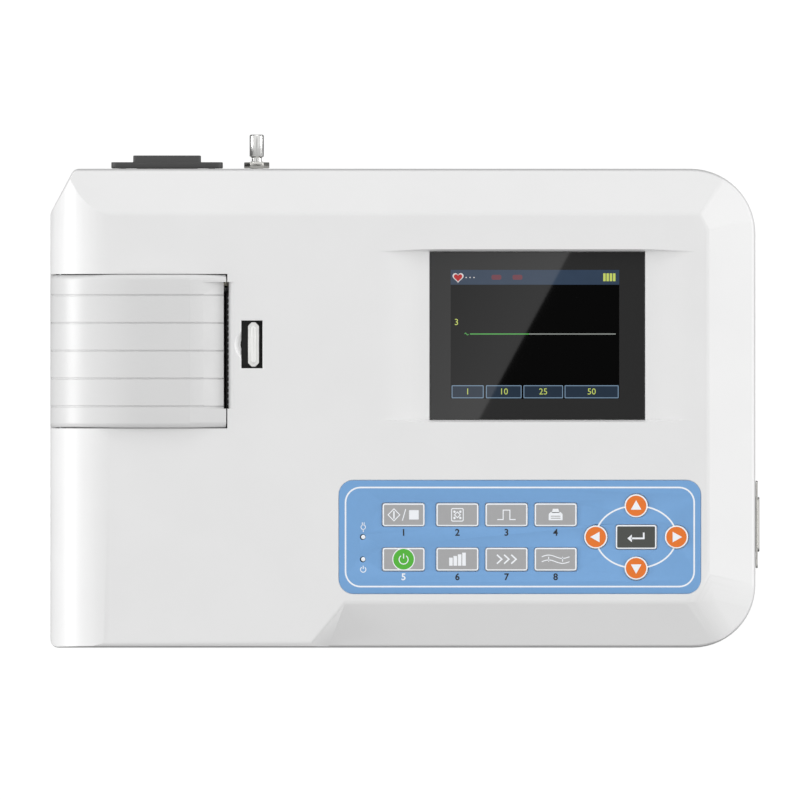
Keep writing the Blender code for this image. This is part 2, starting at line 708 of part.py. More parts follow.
def step_cutter(name, inset):
    """What lies above the front band, up to the slanting step at its left end."""
    slope = BAND_DROP / FRONT_BAND
    sink = inset * math.sqrt(1 + slope * slope)
    reach = FRONT_BAND + OVERRUN
    top_front = Vector((LEFT + STEP_TOP_FRONT - inset, FRONT, DECK_HEIGHT))
    foot_front = Vector((LEFT + STEP_FOOT_FRONT - inset, FRONT, DECK_HEIGHT - BAND_DROP))
    top_back = Vector((LEFT + STEP_TOP_BACK - inset, FRONT + FRONT_BAND, DECK_HEIGHT))
    normal = (foot_front - top_front).cross(top_back - top_front).normalized()
    if normal.x > 0:
        normal = -normal
    low = (top_front.x - BAND_DROP, FRONT - OVERRUN, DECK_HEIGHT - BAND_DROP - reach)
    high = (RIGHT + OVERRUN, FRONT + reach, DECK_HEIGHT + BAND_DROP)
    mesh = bpy.data.meshes.new(name)
    bm = bmesh.new()
    bmesh.ops.create_cube(bm, size=1.0)
    bmesh.ops.scale(bm, vec=Vector(high) - Vector(low), verts=bm.verts)
    bmesh.ops.translate(bm, vec=(Vector(low) + Vector(high)) / 2, verts=bm.verts)
    band_point = Vector((LEFT, FRONT + FRONT_BAND, DECK_HEIGHT - sink))
    band_normal = Vector((0, slope, -1)).normalized()
    for point, away in ((top_front, normal), (band_point, band_normal)):
        bmesh.ops.bisect_plane(
            bm,
            geom=bm.verts[:] + bm.edges[:] + bm.faces[:],
            dist=WELD,
            plane_co=point,
            plane_no=away,
            clear_outer=True,
        )
        open_edges = [edge for edge in bm.edges if edge.is_boundary]
        bmesh.ops.holes_fill(bm, edges=open_edges, sides=len(open_edges))
    bmesh.ops.recalc_face_normals(bm, faces=bm.faces)
    bm.to_mesh(mesh)
    bm.free()
    return tool(name, mesh)


def edge_round_cutter(name, inset, edge, radius, plane, low, high):
    """What lies outside the round along a top edge at the case's left or front side."""
    centre = edge + radius
    height = DECK_HEIGHT - radius
    outline = [(edge - OVERRUN, height)]
    outline.extend(reversed(arc(centre, height, radius - inset, math.pi / 2, math.pi)))
    outline.extend([(centre, DECK_HEIGHT + OVERRUN), (edge - OVERRUN, DECK_HEIGHT + OVERRUN)])
    return plate(name, [outline], low, high, plane)


def case_block(name, inset, low):
    """A closed block of the case's outer form from a height up, drawn in on all sides."""
    corners = drawn_in(case_plan(), inset) if inset else case_plan()
    block = plate(name, [rounded(corners)], low, DECK_HEIGHT - inset)
    across = (LEFT - OVERRUN, RIGHT + OVERRUN)
    along = (FRONT - OVERRUN, BACK + OVERRUN)
    facet_x = RIGHT - RIGHT_BAND
    facet_back = BACK - BACK_BAND
    facet_front = FRONT + FRONT_BAND
    cut(
        block,
        edge_round_cutter(name + "_left", inset, LEFT, LEFT_ROUND, "XZ", *along),
        band_cutter(name + "_back", inset, BACK, 1, BACK_BAND, "YZ", *across),
        band_cutter(name + "_right", inset, RIGHT, 1, RIGHT_BAND, "XZ", *along),
        facet_cutter(
            name + "_back_facet",
            inset,
            (RIGHT, BACK),
            (facet_x - CORNER_FACET_REST, facet_back),
            (facet_x, facet_back - CORNER_FACET),
            RIGHT_BAND,
        ),
        facet_cutter(
            name + "_front_facet",
            inset,
            (RIGHT, FRONT),
            (facet_x - CORNER_FACET_REST, facet_front),
            (facet_x, facet_front + CORNER_FACET),
            RIGHT_BAND,
        ),
        step_cutter(name + "_step", inset),
    )
    if inset < FRONT_ROUND:
        cut(block, edge_round_cutter(name + "_front", inset, FRONT, FRONT_ROUND, "YZ", *across))
    return block


def screw_places():
    """Places of the four case screws, by name."""
    return {
        "front_left": (LEFT + SCREW_LEFT_INSET, FRONT + SCREW_LEFT_INSET),
        "front_right": (RIGHT - SCREW_RIGHT_INSET, FRONT + SCREW_RIGHT_INSET),
        "back_right": (RIGHT - SCREW_RIGHT_INSET, BACK - SCREW_RIGHT_INSET),
        "back_left": (LEFT + SCREW_RIGHT_INSET, BACK - SCREW_LEFT_INSET),
    }


def foot_places():
    """Places of the four feet, by name."""
    left, right = LEFT + FOOT_INSET, RIGHT - FOOT_INSET
    front, back = FRONT + FOOT_INSET, BACK - FOOT_INSET
    return {
        "front_left": (left, front),
        "front_right": (right, front),
        "back_right": (right, back),
        "back_left": (left, back),
    }


def board_posts():
    """Posts of the lower case: place, top and radius, under each thing that stands on them."""
    posts = []

    def corners(left, front, width, length, inset, top):
        for x in (left + inset, left + width - inset):
            for y in (front + inset, front + length - inset):
                posts.append((x, y, top - FIT))

    corners(
        LEFT + MAIN_BOARD_LEFT, FRONT + MAIN_BOARD_FRONT, MAIN_BOARD_WIDTH, MAIN_BOARD_LENGTH,
        BOARD_POST_INSET, MAIN_BOARD_HEIGHT,
    )
    corners(
        LEFT + POWER_BOARD_LEFT, FRONT + POWER_BOARD_FRONT, POWER_BOARD_WIDTH, POWER_BOARD_LENGTH,
        BOARD_POST_INSET, MAIN_BOARD_HEIGHT,
    )
    well_low, well_high = well_sides()
    corners(
        LEFT + WELL_LEFT, well_low, WELL_LENGTH, well_high - well_low, WELL_POST_INSET, WELL_FLOOR,
    )
    middle = (FRAME_LEFT + FRAME_RIGHT) / 2
    for y in (FRAME_LOW + WELL_POST_INSET, FRAME_HIGH - WELL_POST_INSET):
        posts.append((middle, y, FRAME_BASE - FIT))
    return posts


def door_opening(name, low):
    """What the door needs open in the case."""
    return box(
        name,
        (LEFT - OVERRUN, DOOR_LOW - FIT, low),
        (DOOR_END + DOOR_END_GAP, DOOR_HIGH + FIT, DECK_HEIGHT + OVERRUN),
    )


def make_bottom_case():
    """Lower half of the case, with its lip, posts and openings for the sockets."""
    bottom = plate("bottom_block", [rounded(case_plan())], CASE_BOTTOM, PARTING_HEIGHT)
    chamfer_lower_edge(bottom, UNDER_CHAMFER)
    lip_inset = (WALL + FIT) / 2
    lip = plate(
        "bottom_lip", [rounded(drawn_in(case_plan(), lip_inset))],
        PARTING_HEIGHT - EMBED, PARTING_HEIGHT + LIP_HEIGHT,
    )
    cavity = plate(
        "bottom_cavity", [rounded(drawn_in(case_plan(), WALL))], FLOOR_TOP,
        PARTING_HEIGHT + LIP_HEIGHT + OVERRUN,
    )
    join(bottom, lip)
    cut(bottom, cavity)
    for i, (x, y, top) in enumerate(board_posts()):
        join(
            bottom,
            cylinder(f"post_{i}", POST_RADIUS, (x, y, FLOOR_TOP - EMBED), (x, y, top), POST_SIDES),
        )
    for name, (x, y) in screw_places().items():
        join(
            bottom,
            cylinder(
                "low_boss_" + name, BOSS_RADIUS, (x, y, FLOOR_TOP - EMBED), (x, y, PARTING_HEIGHT),
                SMALL_SIDES,
            ),
        )
        head_top = CASE_BOTTOM + SCREW_SINK + SCREW_HEAD_HEIGHT + FIT
        cut(
            bottom,
            cylinder(
                "head_bore_" + name, SCREW_HEAD_RADIUS + FIT, (x, y, CASE_BOTTOM - OVERRUN),
                (x, y, head_top), SMALL_SIDES,
            ),
            cylinder(
                "shank_bore_" + name, SCREW_RADIUS + FIT, (x, y, head_top - EMBED),
                (x, y, PARTING_HEIGHT + OVERRUN), SMALL_SIDES,
            ),
        )
    for name, (x, y) in foot_places().items():
        cut(
            bottom,
            cylinder(
                "foot_seat_" + name, FOOT_RADIUS + FIT, (x, y, CASE_BOTTOM - OVERRUN),
                (x, y, CASE_BOTTOM + FOOT_SEAT + FIT),
            ),
        )
    cut(bottom, door_opening("lip_gap", PARTING_HEIGHT))
    cut(bottom, inlet_hole(), stud_hole(), socket_hole())
    part("bottom_case", bottom, "white")


def make_top_case():
    """Upper half of the case, with the door's opening, the screen recess and the keypad seat."""
    top = case_block("top_block", 0.0, PARTING_HEIGHT + FIT)
    cavity = case_block("top_cavity", WALL, PARTING_HEIGHT - OVERRUN)
    leave_top_bosses(cavity)
    cut(top, cavity)
    lip_room = plate(
        "lip_room",
        [
            rounded(drawn_in(case_plan(), (WALL - FIT) / 2)),
            rounded(drawn_in(case_plan(), WALL + FIT)),
        ],
        PARTING_HEIGHT - OVERRUN,
        PARTING_HEIGHT + LIP_HEIGHT + FIT,
    )
    cut(top, lip_room)
    bore_top_bosses(top)
    cut_screen_seat(top)
    cut_keypad_seat(top)
    cut_door_and_slot(top)
    cut_latch_window(top)
    part("top_case", top, "white")


def leave_top_bosses(cavity):
    """Leave material in the cavity for the screw bosses, the lugs, the screen and the slot."""
    for name, (x, y) in screw_places().items():
        boss = cylinder(
            "high_boss_" + name, BOSS_RADIUS, (x, y, PARTING_HEIGHT - 2 * OVERRUN),
            (x, y, DECK_HEIGHT), SMALL_SIDES,
        )
        cut(cavity, boss)
    for name, low, high, side in hinge_lugs():
        lug = box(
            "lug_" + name,
            (LEFT, low - side * EMBED, PARTING_HEIGHT + LIP_HEIGHT + FIT),
            (HINGE_X + HINGE_BARREL_RADIUS, high + EMBED - side * EMBED,
             PARTING_HEIGHT + HINGE_LUG_HEIGHT),
        )
        cut(cavity, lug)
    lip = box(
        "slot_lip",
        (SLOT_LEFT, SLOT_LOW - WALL, DECK_HEIGHT - SLOT_LIP_DEPTH),
        (SLOT_RIGHT + SLOT_LIP_ROUND, SLOT_HIGH + WALL, DECK_HEIGHT),
    )
    screen_pad = lens_box("screen_pad", LEDGE_MARGIN, LENS_LEDGE_BOTTOM, DECK_HEIGHT)
    left, front = LEFT + LENS_LEFT, FRONT + LENS_FRONT
    side_margin = LEDGE_MARGIN - FIT
    ramp_floor = box(
        "ramp_floor",
        (left - RECESS_RAMP, front - side_margin, LENS_TOP - WALL),
        (left + LENS_WIDTH + RECESS_RAMP, front + LENS_LENGTH + side_margin, DECK_HEIGHT),
    )
    cut(cavity, screen_pad, ramp_floor, lip)


def bore_top_bosses(top):
    """Bore the screw bosses, and the two lugs of the hinge rod."""
    for name, (x, y) in screw_places().items():
        cut(
            top,
            cylinder(
                "pilot_" + name, SCREW_RADIUS + FIT, (x, y, PARTING_HEIGHT - OVERRUN),
                (x, y, PARTING_HEIGHT + SCREW_BITE + FIT), SMALL_SIDES,
            ),
        )
    cut(
        top,
        cylinder(
            "rod_bore", HINGE_ROD_RADIUS + FIT,
            (HINGE_X, DOOR_LOW - FIT - HINGE_LUG * HINGE_ROD_HOLD_share, HINGE_Z),
            (HINGE_X, DOOR_HIGH + FIT + HINGE_LUG * HINGE_ROD_HOLD_share, HINGE_Z),
            SMALL_SIDES,
        ),
    )


def hinge_lugs():
    """Name, front and back of each lug beside the door, and 1 for the one behind it."""
    return (
        ("front", DOOR_LOW - FIT - HINGE_LUG, DOOR_LOW - FIT, 0),
        ("back", DOOR_HIGH + FIT, DOOR_HIGH + FIT + HINGE_LUG, 1),
    )


def lens_box(name, grow, low, high):
    """The lens outline grown by a margin, between two heights."""
    left, front = LEFT + LENS_LEFT, FRONT + LENS_FRONT
    return box(
        name,
        (left - grow, front - grow, low),
        (left + LENS_WIDTH + grow, front + LENS_LENGTH + grow, high),
    )


def screen_corner():
    """Left front corner of the lit area."""
    return LEFT + LENS_LEFT + SCREEN_LEFT_MARGIN, FRONT + LENS_FRONT + SCREEN_FRONT_MARGIN


def scoop_cutter():
    """The shallow recess whose two ramps fade into the deck beside the lens."""
    left = LEFT + LENS_LEFT - FIT
    right = left + LENS_WIDTH + 2 * FIT
    front = FRONT + LENS_FRONT - FIT
    back = front + LENS_LENGTH + 2 * FIT
    stations = []
    for i in range(RECESS_STEPS + 1):
        share = i / RECESS_STEPS
        depth = RECESS_DEPTH * (1 - math.cos(math.pi * share)) / 2
        stations.append((left - RECESS_RAMP * (1 - share), depth))
    stations.extend((2 * ((left + right) / 2) - x, depth) for x, depth in reversed(stations[:]))
    mesh = bpy.data.meshes.new("scoop")
    bm = bmesh.new()
    rows = []
    for x, depth in stations:
        spread = (depth + OVERRUN) * RECESS_DRAFT_share
        floor = DECK_HEIGHT - depth
        rows.append(
            [
                bm.verts.new((x, front, floor)),
                bm.verts.new((x, back, floor)),
                bm.verts.new((x, back + spread, DECK_HEIGHT + OVERRUN)),
                bm.verts.new((x, front - spread, DECK_HEIGHT + OVERRUN)),
            ]
        )
    bm.faces.new(rows[0])
    bm.faces.new(rows[-1])
    for one, two in zip(rows, rows[1:]):
        for i in range(4):
            bm.faces.new((one[i], one[i - 1], two[i - 1], two[i]))
    bmesh.ops.recalc_face_normals(bm, faces=bm.faces)
    bm.to_mesh(mesh)
    bm.free()
    return tool("scoop", mesh)


def cut_screen_seat(top):
    """Sink the scoop, the lens seat and the window."""
    left, front = screen_corner()
    cut(
        top,
        scoop_cutter(),
        lens_box("lens_seat", FIT, LENS_LEDGE_TOP, LENS_TOP + FIT),
        box(
            "screen_window",
            (left - FIT, front - FIT, LENS_LEDGE_BOTTOM - OVERRUN),
            (left + SCREEN_WIDTH + FIT, front + SCREEN_LENGTH + FIT, LENS_TOP),
        ),
    )


def panel_outline(grow):
    """The keypad panel's outline, grown by a margin."""
    return rounded(
        rectangle(
            PANEL_X - grow, PANEL_Y - grow, PANEL_WIDTH + 2 * grow, PANEL_LENGTH + 2 * grow,
            PANEL_RADIUS + grow,
        )
    )


def cut_keypad_seat(top):
    """A shallow seat for the panel, and the opening that the keys work in."""
    cut(
        top,
        plate("panel_seat", [panel_outline(FIT)], PANEL_BOTTOM - FIT, DECK_HEIGHT + OVERRUN),
        plate("key_opening", [panel_outline(-PANEL_LEDGE)], ROOF - OVERRUN, DECK_HEIGHT),
    )


def cut_door_and_slot(top):
    """The door's opening, and the slot beside it with its rounded lip."""
    cut(top, door_opening("door_opening", PARTING_HEIGHT - OVERRUN))
    lip = arc(
        SLOT_RIGHT + SLOT_LIP_ROUND, DECK_HEIGHT - SLOT_LIP_ROUND, SLOT_LIP_ROUND,
        math.pi, math.pi / 2,
    )
    outline = [(SLOT_LEFT, DECK_HEIGHT - SLOT_LIP_DEPTH - OVERRUN)]
    outline.append((SLOT_RIGHT, DECK_HEIGHT - SLOT_LIP_DEPTH - OVERRUN))
    outline.extend(lip)
    outline.append((SLOT_RIGHT + SLOT_LIP_ROUND, DECK_HEIGHT + OVERRUN))
    outline.append((SLOT_LEFT, DECK_HEIGHT + OVERRUN))
    cut(top, plate("slot_notch", [outline], SLOT_LOW, SLOT_HIGH, "XZ"))


def cut_latch_window(top):
    """The latch's window, and the finger dimple that leads into it."""
    left, front = LEFT + WINDOW_LEFT, FRONT + WINDOW_FRONT
    window = box(
        "latch_window",
        (left, front, ROOF - OVERRUN),
        (left + WINDOW_WIDTH, front + WINDOW_LENGTH, DECK_HEIGHT + OVERRUN),
    )
    mesh = bpy.data.meshes.new("dimple")
    bm = bmesh.new()
    bmesh.ops.create_uvsphere(
        bm, u_segments=DIMPLE_TURNS, v_segments=DIMPLE_RINGS, radius=DIMPLE_RADIUS,
    )
    rise = math.sqrt(DIMPLE_RADIUS**2 - DIMPLE_MOUTH**2)
    place = Vector(
        (left - DIMPLE_REACH + DIMPLE_MOUTH, front + WINDOW_LENGTH / 2, DECK_HEIGHT + rise)
    )
    bmesh.ops.translate(bm, vec=place, verts=bm.verts)
    bmesh.ops.bisect_plane(
        bm,
        geom=bm.verts[:] + bm.edges[:] + bm.faces[:],
        dist=WELD,
        plane_co=(left + WINDOW_WIDTH / 4, 0, 0),
        plane_no=(1, 0, 0),
        clear_outer=True,
    )
    open_edges = [edge for edge in bm.edges if edge.is_boundary]
    bmesh.ops.holes_fill(bm, edges=open_edges, sides=len(open_edges))
    bmesh.ops.recalc_face_normals(bm, faces=bm.faces)
    bm.to_mesh(mesh)
    bm.free()
    cut(top, window, tool("dimple", mesh))


def door_stations():
    """The door's outer profile from the hinge to its free end: (x, z) from the left side."""
    spring_height = DECK_HEIGHT - LEFT_ROUND
    rise = max(0.0, HINGE_Z - spring_height)
    lowest = math.asin(rise / (DOOR_CROWN_HEIGHT - spring_height))
    points = [] if rise else [(0.0, HINGE_Z)]
    for i in range(DOOR_ARC_STEPS + 1):
        angle = math.pi - lowest - (math.pi / 2 - lowest) * i / DOOR_ARC_STEPS
        points.append(
            (
                DOOR_CROWN_X + DOOR_CROWN_X * math.cos(angle),
                spring_height + (DOOR_CROWN_HEIGHT - spring_height) * math.sin(angle),
            )
        )
    for i in range(1, DOOR_TOP_STEPS + 1):
        share = i / DOOR_TOP_STEPS
        points.append(
            (
                DOOR_CROWN_X + (DOOR_KINK_X - DOOR_CROWN_X) * share,
                DOOR_CROWN_HEIGHT - (DOOR_CROWN_HEIGHT - DOOR_KINK_HEIGHT) * share * share,
            )
        )
    points.append((DOOR_LENGTH, DECK_HEIGHT))
    return points


def door_rows():
    """Rows across the door: distance from its front edge, and depth below its surface."""
    rows = [(0.0, DOOR_SKIRT)]
    for i in range(DOOR_EDGE_STEPS + 1):
        angle = math.pi / 2 * i / DOOR_EDGE_STEPS
        rows.append(
            (
                DOOR_EDGE_ROUND * (1 - math.cos(angle)),
                DOOR_EDGE_ROUND * (1 - math.sin(angle)),
            )
        )
    grooves = []
    half = GROOVE_WIDTH / 2
    for i in range(GROOVE_COUNT):
        middle = GROOVE_FIRST + GROOVE_PITCH * i
        grooves.extend([(middle - half, 0.0), (middle, GROOVE_DEPTH), (middle + half, 0.0)])
    tail = [(DOOR_WIDTH - y, depth) for y, depth in reversed(rows)]
    return rows + grooves + tail


def door_height(x):
    """Height of the door's last, straight stretch at a distance from its left side."""
    share = (x - DOOR_KINK_X) / (DOOR_LENGTH - DOOR_KINK_X)
    return DOOR_KINK_HEIGHT + (DECK_HEIGHT - DOOR_KINK_HEIGHT) * share


def ramp_shapes():
    """The pad under the paper's exit ramp, and the wedge that is cut down to the ramp."""
    end = DOOR_LENGTH - SLOT_SETBACK
    start = end - RAMP_LENGTH
    slope = RAMP_DEPTH / RAMP_LENGTH
    skin = DOOR_THICKNESS
    over = OVERRUN
    pad = [
        (LEFT + start, door_height(start) - skin),
        (LEFT + end + skin / 2, door_height(end) - skin - RAMP_DEPTH - slope * skin / 2),
        (LEFT + end + skin / 2, door_height(end) - skin / 2),
        (LEFT + start, door_height(start) - skin / 2),
    ]
    wedge = [
        (LEFT + start, door_height(start)),
        (LEFT + end + over, door_height(end + over) - RAMP_DEPTH - slope * over),
        (LEFT + end + over, DOOR_KINK_HEIGHT + OVERRUN),
        (LEFT + start, DOOR_KINK_HEIGHT + OVERRUN),
    ]
    return (
        plate("ramp_pad", [pad], SLOT_LOW - skin, SLOT_HIGH + skin / 2, "XZ"),
        plate("ramp_wedge", [wedge], SLOT_LOW, SLOT_HIGH, "XZ"),
    )


def make_door(pivot):
    """The paper door: a ribbed, crowned shell with a hinge barrel and two platen brackets."""
    stations = door_stations()
    rows = door_rows()
    mesh = bpy.data.meshes.new("door_skin")
    bm = bmesh.new()
    bmesh.ops.create_grid(
        bm, x_segments=len(stations) - 1, y_segments=len(rows) - 1, size=1.0,
    )
    verts = sorted(bm.verts, key=lambda vert: (round(vert.co.y, 4), round(vert.co.x, 4)))
    for i, vert in enumerate(verts):
        row, column = divmod(i, len(stations))
        x, z = stations[column]
        before = Vector(stations[max(column - 1, 0)])
        after = Vector(stations[min(column + 1, len(stations) - 1)])
        run = (after - before).normalized()
        y, depth = rows[row]
        vert.co = (LEFT + x + run.y * depth, DOOR_LOW + y, z - run.x * depth)
    bm.normal_update()
    if max(bm.faces, key=lambda face: face.calc_center_median().z).normal.z < 0:
        bmesh.ops.reverse_faces(bm, faces=bm.faces)
    bm.to_mesh(mesh)
    bm.free()
    door = tool("door_skin", mesh)
    wall = door.modifiers.new("wall", "SOLIDIFY")
    wall.thickness = DOOR_THICKNESS
    wall.offset = -1
    wall.use_even_offset = True
    barrel_ends = (
        (HINGE_X, DOOR_LOW + DOOR_THICKNESS / 2, HINGE_Z),
        (HINGE_X, DOOR_HIGH - DOOR_THICKNESS / 2, HINGE_Z),
    )
    join(door, cylinder("barrel", HINGE_BARREL_RADIUS, *barrel_ends, FINE_SIDES))
    end_top = DECK_HEIGHT - DOOR_THICKNESS / 2
    for name, low, high in (
        ("front", DOOR_LOW + DOOR_EDGE_ROUND / 2, SLOT_LOW + FIT),
        ("back", SLOT_HIGH - FIT, DOOR_HIGH - DOOR_EDGE_ROUND / 2),
    ):
        join(
            door,
            box(
                "end_" + name,
                (DOOR_END - DOOR_THICKNESS, low, DECK_HEIGHT - DOOR_SKIRT / 2),
                (DOOR_END - FIT / 2, high, end_top),
            ),
        )
    for name, low in (("front", FRONT_BRACKET_LOW), ("back", BACK_BRACKET_HIGH - BRACKET_THICKNESS)):
        join(door, platen_bracket("bracket_" + name, low))
    pad, wedge = ramp_shapes()
    join(door, pad)
    cut(
        door,
        wedge,
        cylinder(
            "barrel_bore", HINGE_ROD_RADIUS + FIT, (HINGE_X, DOOR_LOW - OVERRUN, HINGE_Z),
            (HINGE_X, DOOR_HIGH + OVERRUN, HINGE_Z), SMALL_SIDES,
        ),
        cylinder(
            "platen_bore", PLATEN_SHAFT_RADIUS + FIT,
            (PLATEN_AXIS_X, FRONT_BRACKET_LOW - OVERRUN / 2, PLATEN_HEIGHT),
            (PLATEN_AXIS_X, BACK_BRACKET_HIGH + OVERRUN / 2, PLATEN_HEIGHT),
        ),
        box(
            "door_notch",
            (SLOT_LEFT, SLOT_LOW, DECK_HEIGHT - DOOR_SKIRT - OVERRUN),
            (DOOR_END + OVERRUN, SLOT_HIGH, DECK_HEIGHT + OVERRUN),
        ),
    )
    part("paper_door", door, "white", pivot)


def platen_bracket(name, low):
    """One plate that hangs from the door and carries an end of the platen's shaft."""
    roof = DECK_HEIGHT - DOOR_THICKNESS
    outline = arc(PLATEN_AXIS_X, PLATEN_HEIGHT, BRACKET_RADIUS, math.pi, 2 * math.pi)
    outline.append((PLATEN_AXIS_X + BRACKET_RADIUS - WALL / 2, roof - RAMP_DEPTH / 2))
    outline.append((PLATEN_AXIS_X, roof))
    outline.append((PLATEN_AXIS_X - BRACKET_RADIUS, roof + DOOR_THICKNESS / 2))
    return plate(name, [outline], low, low + BRACKET_THICKNESS, "XZ")


def make_hinge_rod():
    """The steel rod that the door turns on, held in the two lugs."""
    low = DOOR_LOW - HINGE_LUG * HINGE_ROD_HOLD_share
    high = DOOR_HIGH + HINGE_LUG * HINGE_ROD_HOLD_share
    rod = cylinder(
        "rod", HINGE_ROD_RADIUS, (HINGE_X, low, HINGE_Z), (HINGE_X, high, HINGE_Z), SMALL_SIDES,
    )
    part("hinge_rod", rod, "steel")


def involute(angle):
    """The involute function."""
    return math.tan(angle) - angle


def gear_outline(centre, teeth, phase):
    """An involute gear seen along its axis; phase is the angle of one tooth's middle."""
    pitch_radius = GEAR_MODULE * teeth / 2
    base_radius = pitch_radius * math.cos(PRESSURE_ANGLE)
    tip_radius = pitch_radius + GEAR_MODULE * ADDENDUM_share
    root_radius = pitch_radius - GEAR_MODULE * DEDENDUM_share
    half_tooth = (math.pi * GEAR_MODULE / 2 - GEAR_BACKLASH) / (2 * pitch_radius)
    start_radius = max(base_radius, root_radius)
    flank = []
    for i in range(FLANK_POINTS):
        radius = start_radius + (tip_radius - start_radius) * i / (FLANK_POINTS - 1)
        pressure = math.acos(min(1.0, base_radius / radius))
        flank.append((radius, half_tooth + involute(PRESSURE_ANGLE) - involute(pressure)))
    if root_radius < start_radius - WELD:
        flank.insert(0, (root_radius, flank[0][1]))
    points = []
    for tooth in range(teeth):
        middle = phase + 2 * math.pi * tooth / teeth
        for radius, half in flank:
            points.append((radius, middle - half))
        for radius, half in reversed(flank):
            points.append((radius, middle + half))
    return [
        (centre[0] + radius * math.cos(angle), centre[1] + radius * math.sin(angle))
        for radius, angle in points
    ]


def meshed_phase(phase, teeth, direction, other_teeth):
    """The phase that puts a second gear in mesh, direction being from the first to it."""
    offset = phase - direction
    return direction + math.pi + math.pi / other_teeth - offset * teeth / other_teeth


def gear_train():
    """Centre, teeth and phase of the platen gear, the idler and the motor's pinion."""
    platen = Vector((PLATEN_AXIS_X, PLATEN_HEIGHT))
    arm = platen - Vector((HINGE_X, HINGE_Z))
    away = math.atan2(arm.y, arm.x) - math.pi / 2
    first_gap = GEAR_MODULE * (PLATEN_TEETH + IDLER_TEETH) / 2
    idler = platen + Vector((math.cos(away), math.sin(away))) * first_gap
    second_gap = GEAR_MODULE * (IDLER_TEETH + PINION_TEETH) / 2
    lean = Vector((math.cos(PINION_LEAN), math.sin(PINION_LEAN)))
    pinion = idler + lean * second_gap
    platen_phase = away
    idler_phase = meshed_phase(platen_phase, PLATEN_TEETH, away, IDLER_TEETH)
    pinion_phase = meshed_phase(idler_phase, IDLER_TEETH, PINION_LEAN, PINION_TEETH)
    return {
        "platen": (platen, PLATEN_TEETH, platen_phase),
        "idler": (idler, IDLER_TEETH, idler_phase),
        "pinion": (pinion, PINION_TEETH, pinion_phase),
    }


def make_platen(pivot):
    """The rubber platen, its steel shaft and the gear that turns it."""
    centre, teeth, phase = gear_train()["platen"]
    roller = plate(
        "roller",
        [
            circle(centre.x, centre.y, PLATEN_RADIUS, LARGE_SIDES),
            circle(centre.x, centre.y, PLATEN_SHAFT_RADIUS + FIT),
        ],
        PLATEN_LOW,
        PLATEN_HIGH,
        "XZ",
    )
    part("platen_roller", roller, "rubber", pivot)
    shaft_low, shaft_high = shaft_ends()
    shaft = cylinder(
        "shaft", PLATEN_SHAFT_RADIUS, (centre.x, shaft_low, centre.y),
        (centre.x, shaft_high, centre.y),
    )
    part("platen_shaft", shaft, "steel", pivot)
    gear = plate(
        "gear",
        [
            gear_outline(centre, teeth, phase),
            circle(centre.x, centre.y, PLATEN_SHAFT_RADIUS + FIT),
        ],
        GEAR_LOW,
        GEAR_HIGH,
        "XZ",
    )
    part("platen_gear", gear, "acetal", pivot)


def shaft_ends():
    """Front and back ends of the platen's shaft, which the latch's arms reach."""
    back_arm = GEAR_HIGH + 2 * FIT
    shaft_high = back_arm + LATCH_ARM_WIDTH
    shaft_low = 2 * DOOR_MIDDLE - shaft_high
    return shaft_low, shaft_high


def make_idler(pivot):
    """The idler gear, and the axle that holds it on the frame."""
    centre, teeth, phase = gear_train()["idler"]
    gear = plate(
        "idler",
        [
            gear_outline(centre, teeth, phase),
            circle(centre.x, centre.y, IDLER_AXLE_RADIUS + FIT, SMALL_SIDES),
        ],
        GEAR_LOW,
        GEAR_HIGH,
        "XZ",
    )
    part("idler_gear", gear, "acetal", pivot)
    axle = turned(
        "axle",
        [
            (0, GEAR_HIGH + FIT + EMBED - FRAME_INNER_HIGH + FIT),
            (IDLER_AXLE_RADIUS + 2 * FIT, GEAR_HIGH + FIT + EMBED - FRAME_INNER_HIGH + FIT),
            (IDLER_AXLE_RADIUS + 2 * FIT, GEAR_HIGH + FIT - FRAME_INNER_HIGH + FIT),
            (IDLER_AXLE_RADIUS, GEAR_HIGH + FIT - FRAME_INNER_HIGH + FIT),
            (IDLER_AXLE_RADIUS, 0),
            (0, 0),
        ],
        (centre.x, FRAME_INNER_HIGH - FIT, centre.y),
        (0, 1, 0),
        SMALL_SIDES,
    )
    part("idler_axle", axle, "steel")


def make_motor(pivot):
    """The stepping motor, and the pinion on its shaft."""
    centre, teeth, phase = gear_train()["pinion"]
    face = FRAME_INNER_HIGH - FIT
    motor = cylinder(
        "motor", MOTOR_RADIUS, (centre.x, face - MOTOR_LENGTH, centre.y),
        (centre.x, face, centre.y), FINE_SIDES,
    )
    part("print_motor", motor, "steel")
    gear = plate("pinion", [gear_outline(centre, teeth, phase)], GEAR_LOW, GEAR_HIGH, "XZ")
    shaft = cylinder(
        "motor_shaft", MOTOR_SHAFT_RADIUS, (centre.x, face + FIT, centre.y),
        (centre.x, GEAR_HIGH - FIT, centre.y), SMALL_SIDES,
    )
    join(gear, shaft)
    part("motor_pinion", gear, "acetal", pivot)


